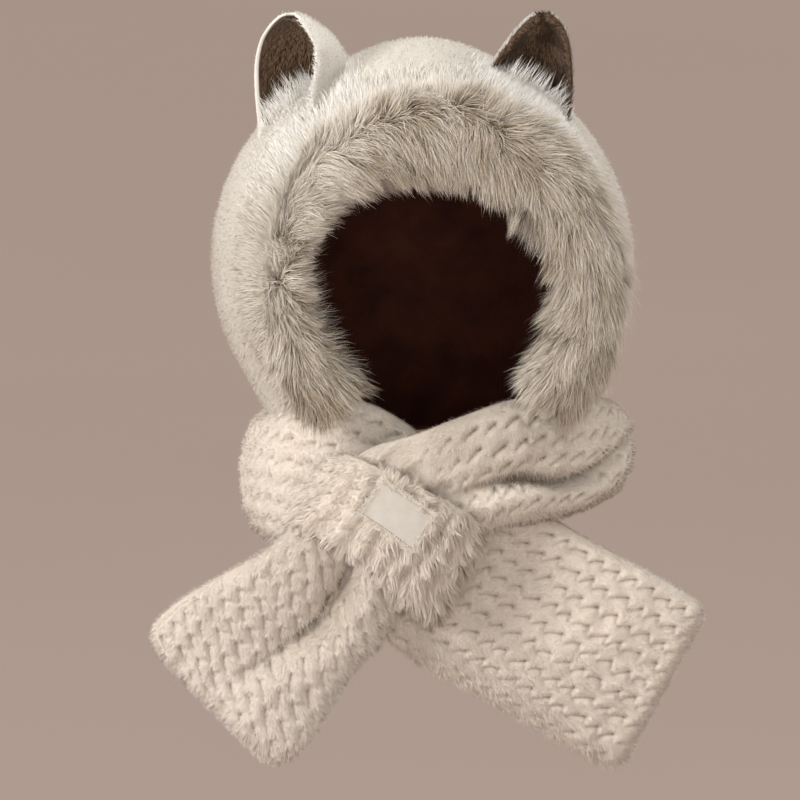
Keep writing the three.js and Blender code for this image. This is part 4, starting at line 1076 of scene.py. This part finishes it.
def scarf_part(name, node, surface, count, comb, layer, scale=0.5, rise=0.3, gap=3.5, pull=0.2):
    """A padded length of the scarf with its pile."""
    # painted shade: where the table is below zero, the base cloth is darkened towards its crease colour
    painted_light_and_shade = paleness(picture(surface.points).reshape(-1, 2), SCARF_PAINTED_LIGHT_AND_SHADE)
    painted_shade = -0.32 * painted_light_and_shade.reshape(surface.points.shape[:2]) * (surface.values["face"] > 0)
    painted_shade = np.clip(painted_shade, 0, 1)
    surface.values["crease"] = painted_shade + surface.values["crease"] * (1 - painted_shade)
    base = add_object(f"{name}_plush", tube_mesh(f"{name}_plush", surface), cream_cloth, [node])
    back = surface.normals[..., 1] > 0.25
    weight = np.where(back, 0.6, 1.0) * (0.02 + 0.98 * smooth(surface.values["space"], 0.7, 1.8))
    weight = weight * (1 - 0.8 * surface.values["groove"])
    roots, normals, found = surface.scatter(count, rng, weight)
    flow, more = comb_from(picture(roots), comb)
    behind = smooth(normals[:, 1], 0.0, 0.6)[:, None]
    flow = unit(flow * (1 - behind) + DOWN * behind)
    room = smooth(found["space"], 0.5, 4)
    length = more[:, 0] * (1 - behind[:, 0]) + 6 * behind[:, 0]
    length = scale * length * (0.5 + 0.5 * room) * rng.uniform(0.7, 1.2, len(roots))
    lift = (more[:, 1] + rise) * rng.uniform(0.8, 1.2, len(roots))
    pile = hairs(roots, normals, flow, length, lift, rng, layer, bend=0.5, mess=0.3)
    pile, lock = clump(pile, gap, pull * room, rng, 1.2)
    tone = 0.5 + 0.10 * wobble(roots[lock], 9, 51) + rng.normal(0, 0.1, len(roots))
    # painted shade: hairs near the creases, along the fold and in the ridge valleys are darker
    tone = tone - 0.25 * (1 - room) - 0.35 * found["shade"]
    # painted light and painted shade on the pile, from the table
    tone = tone + paleness(picture(roots), SCARF_PAINTED_LIGHT_AND_SHADE) * (1 - behind[:, 0])
    add_fur(f"{name}_pile", cream_hair, pile, normals, 0.5, tone)


STITCH = (-9.0, 5.1)  # its way along and across
END_SPEC = {"step": 1.25, "front": 112, "back": 24, "roundness": 7, "even": 0.8, "inset": 2.0, "depth": 1.0}
left_end = band_surface(SCARF_ROWS, 0, 9.35, line=(-9.2, 8.7), rounded=(1, 0), **END_SPEC)
right_end = band_surface(SCARF_ROWS, 32.0, 38, line=STITCH, rounded=(0, 1), **END_SPEC)
neck = band_surface(SCARF_ROWS, 9.1, 32.3, 2.1, 60, 20, 2.6, 0.5, 2.0, STITCH, 1.15, fold=(0.36, 0.14))
scarf_part("scarf_left", "scarf_end_left", left_end, 60000, SCARF_COMB, 1, scale=0.7, gap=4.5, pull=0.35)
scarf_part("scarf_right", "scarf_end_right", right_end, 64000, SCARF_COMB, 1)
scarf_part("scarf_neck", "scarf_wrap", neck, 80000, SCARF_COMB, 1, scale=0.68, gap=4.5, pull=0.35)
strap = band_surface(STRAP_ROWS, 0, 8, 2.0, 40, 14, 6, 0.7, 2.4, STITCH, 0.4, waves=(2.0, 17))
# no pile under the label, whose edges are (44, 30) and (-17, 34) pixels long round this middle
right, down = np.moveaxis(picture(strap.points) - (394.5, 514.5), -1, 0)
a = (right * 34 + down * 17) / 2006
b = (down * 44 - right * 30) / 2006
under = (np.abs(a) < 0.47) & (np.abs(b) < 0.47) & (strap.values["face"] > 0)
strap.values["groove"] = np.where(under, 1.25, strap.values["groove"])
scarf_part("loop", "scarf_loop", strap, 13500, STRAP_COMB, 3, scale=0.85, rise=0.1, gap=8, pull=0.65)


# Label

LABEL = (3.40, 4.88, -0.69, 0.13)  # rows of the strap from and to, places across it


def on_strap(place, s, off):
    """A point over the strap's face, off mm above its middle."""
    f = band_frames(STRAP_ROWS, place)
    bulge = np.sqrt(1 - np.abs(s) ** 6)
    high = f["thick"] / 2 * bulge + off
    return f["centre"] + f["across"] * (s / 2)[:, None] + f["normal"] * high[:, None]


def lean_at(place):
    """How far the label's lengthwise lines lean across the strap."""
    return 0.11 * ((place - LABEL[0]) / (LABEL[1] - LABEL[0]) - 0.5)


def label_grid(off, nu=40, nv=28):
    p, q = np.meshgrid(np.linspace(*LABEL[:2], nu), np.linspace(*LABEL[2:], nv), indexing="ij")
    points = on_strap(p.ravel(), (q + lean_at(p)).ravel(), off).reshape(nu, nv, 3)
    return facing(Surface(points), FRONT)


tape_cloth = cloth_material("label_tape", (196, 190, 179), (203, 197, 187), 160, 0.4, sheen=0.1)
tape = sheet_mesh("label_tape", label_grid(1.7), label_grid(0.8))
tape = add_object("label_tape", tape, tape_cloth, ["label"])
MARGIN = 0.05
starts = np.arange(LABEL[0] + MARGIN, LABEL[1] - MARGIN, 0.062)
verts, faces = [], []
for s, place in [(s, place) for s in (LABEL[2] + MARGIN, LABEL[3] - MARGIN) for place in starts]:
    across = s + lean_at(place)
    a, b = on_strap(np.array([place, place + 0.034]), np.array([across, across]), 2.0)
    way = unit(b - a)
    side = unit(np.cross(way, FRONT)) * 0.4
    rise = unit(np.cross(side, way)) * 0.4
    if rise[1] > 0:
        rise = -rise
    first = len(verts)
    for t, size in ((0, 0.3), (0.2, 1), (0.8, 1), (1, 0.3)):
        middle = a + (b - a) * t
        verts += [middle + side * size, middle + rise * size * 1.2]
        verts += [middle - side * size, middle - rise * size]
    for i in range(3):
        for k in range(4):
            c, d = first + 4 * i + k, first + 4 * i + (k + 1) % 4
            faces.append([c, d, d + 4, c + 4])
    faces.append([first + k for k in range(4)])
    faces.append([first + 15 - k for k in range(4)])
stitches = mesh_of("label_stitches", np.array(verts), [np.array(faces)])
thread = cloth_material("thread", (158, 146, 128), (176, 165, 148), 300, 0.2)
add_object("label_stitches", stitches, thread)

face = label_grid(1.5)
rim = np.concatenate([face.points[0], face.points[-1], face.points[:, 0], face.points[:, -1]])
middle = face.points.mean((0, 1))
LABEL_HAIRS = 900
roots = rim[rng.integers(0, len(rim), LABEL_HAIRS)]
away = unit(roots - middle)
roots = roots + away * rng.uniform(-0.2, 1.8, (LABEL_HAIRS, 1))
roots = roots + rng.normal(0, 0.5, roots.shape) * [1, 0.2, 1]
normals = np.tile(FRONT, (LABEL_HAIRS, 1))
flow = rng.normal(0, 1, (LABEL_HAIRS, 3)) - 0.25 * away
fluff = hairs(roots, normals, flow, rng.uniform(2.5, 4.5, LABEL_HAIRS), 0.35, rng, 2, mess=0.3)
tone = 0.6 + rng.normal(0, 0.15, LABEL_HAIRS)
add_fur("label_fluff", cream_hair, fluff, normals, 0.45, tone)


# Stage, lights and camera

def make_stage():
    """A floor that curves up into a wall behind, in metres."""
    wide, radius, low, high = 20.0, 4.0, -0.8, 16.0
    turn = np.linspace(0, math.pi / 2, 16)
    bend = [(wide - radius + radius * math.sin(t), low + radius - radius * math.cos(t)) for t in turn]
    profile = [(-wide, low)] + bend + [(wide, high)]
    points = np.array([[x, y, z] for y, z in profile for x in (-wide, wide)]) / MM
    faces = np.array([[2 * i, 2 * i + 1, 2 * i + 3, 2 * i + 2] for i in range(len(profile) - 1)])
    mesh = mesh_of("backdrop", points, [faces])
    material, tree, shader = new_material("backdrop", 0.95, 0.0, (255, 255, 255))
    shader.inputs["Base Color"].default_value = (0.12, 0.1, 0.09, 1)
    shader.inputs["Emission Strength"].default_value = 0.87
    colour = ramp_of(tree, noise(tree, 0.8, 2), [(0.3, 165, 145, 134), (0.7, 168, 148, 137)])
    tree.links.new(colour, shader.inputs["Emission Color"])
    mesh.materials.append(material)
    new_object("backdrop", mesh)


def add_light(name, place, size, watts, colour):
    data = bpy.data.lights.new(name, "AREA")
    data.size = size
    data.energy = watts
    data.color = colour
    light = new_object(name, data)
    light.location = place
    light.visible_camera = False
    light.rotation_euler = (MIDDLE - Vector(place)).to_track_quat("-Z", "Y").to_euler()


make_stage()
MIDDLE = Vector((-0.016, -0.09, -0.24))
add_light("key", (-2.1, -1.65, 0.45), 1.0, 56, (1.0, 0.985, 0.97))
add_light("fill", (0.1, -2.7, -0.5), 1.8, 42, (1.0, 0.99, 0.98))
add_light("top", (0.1, -0.2, 1.9), 1.0, 28, (1.0, 0.985, 0.97))
add_light("right", (1.8, 0.4, 0.2), 1.2, 8, (1.0, 0.98, 0.96))
world = bpy.data.worlds.new("studio")
world.use_nodes = True
sky = world.node_tree.nodes["Background"].inputs
sky["Color"].default_value = (0.95, 0.935, 0.92, 1)
sky["Strength"].default_value = 0.4
bpy.context.scene.world = world

DISTANCE = 10.0
WIDE = 0.56  # the frame's width
DEPTH = -90  # where it is that wide, in mm
camera_data = bpy.data.cameras.new("camera")
camera_data.sensor_width = 36
camera_data.lens = camera_data.sensor_width * DISTANCE / WIDE
camera_data.clip_end = 100
camera = new_object("camera", camera_data)
middle = seen(-16.1, -247.1, DEPTH) * MM
camera.location = Vector(middle) + Vector((0, -COS, SIN)) * DISTANCE
camera.rotation_euler = (math.pi / 2 - TILT, 0, 0)
bpy.context.scene.camera = camera
bpy.context.scene.view_settings.view_transform = "Standard"
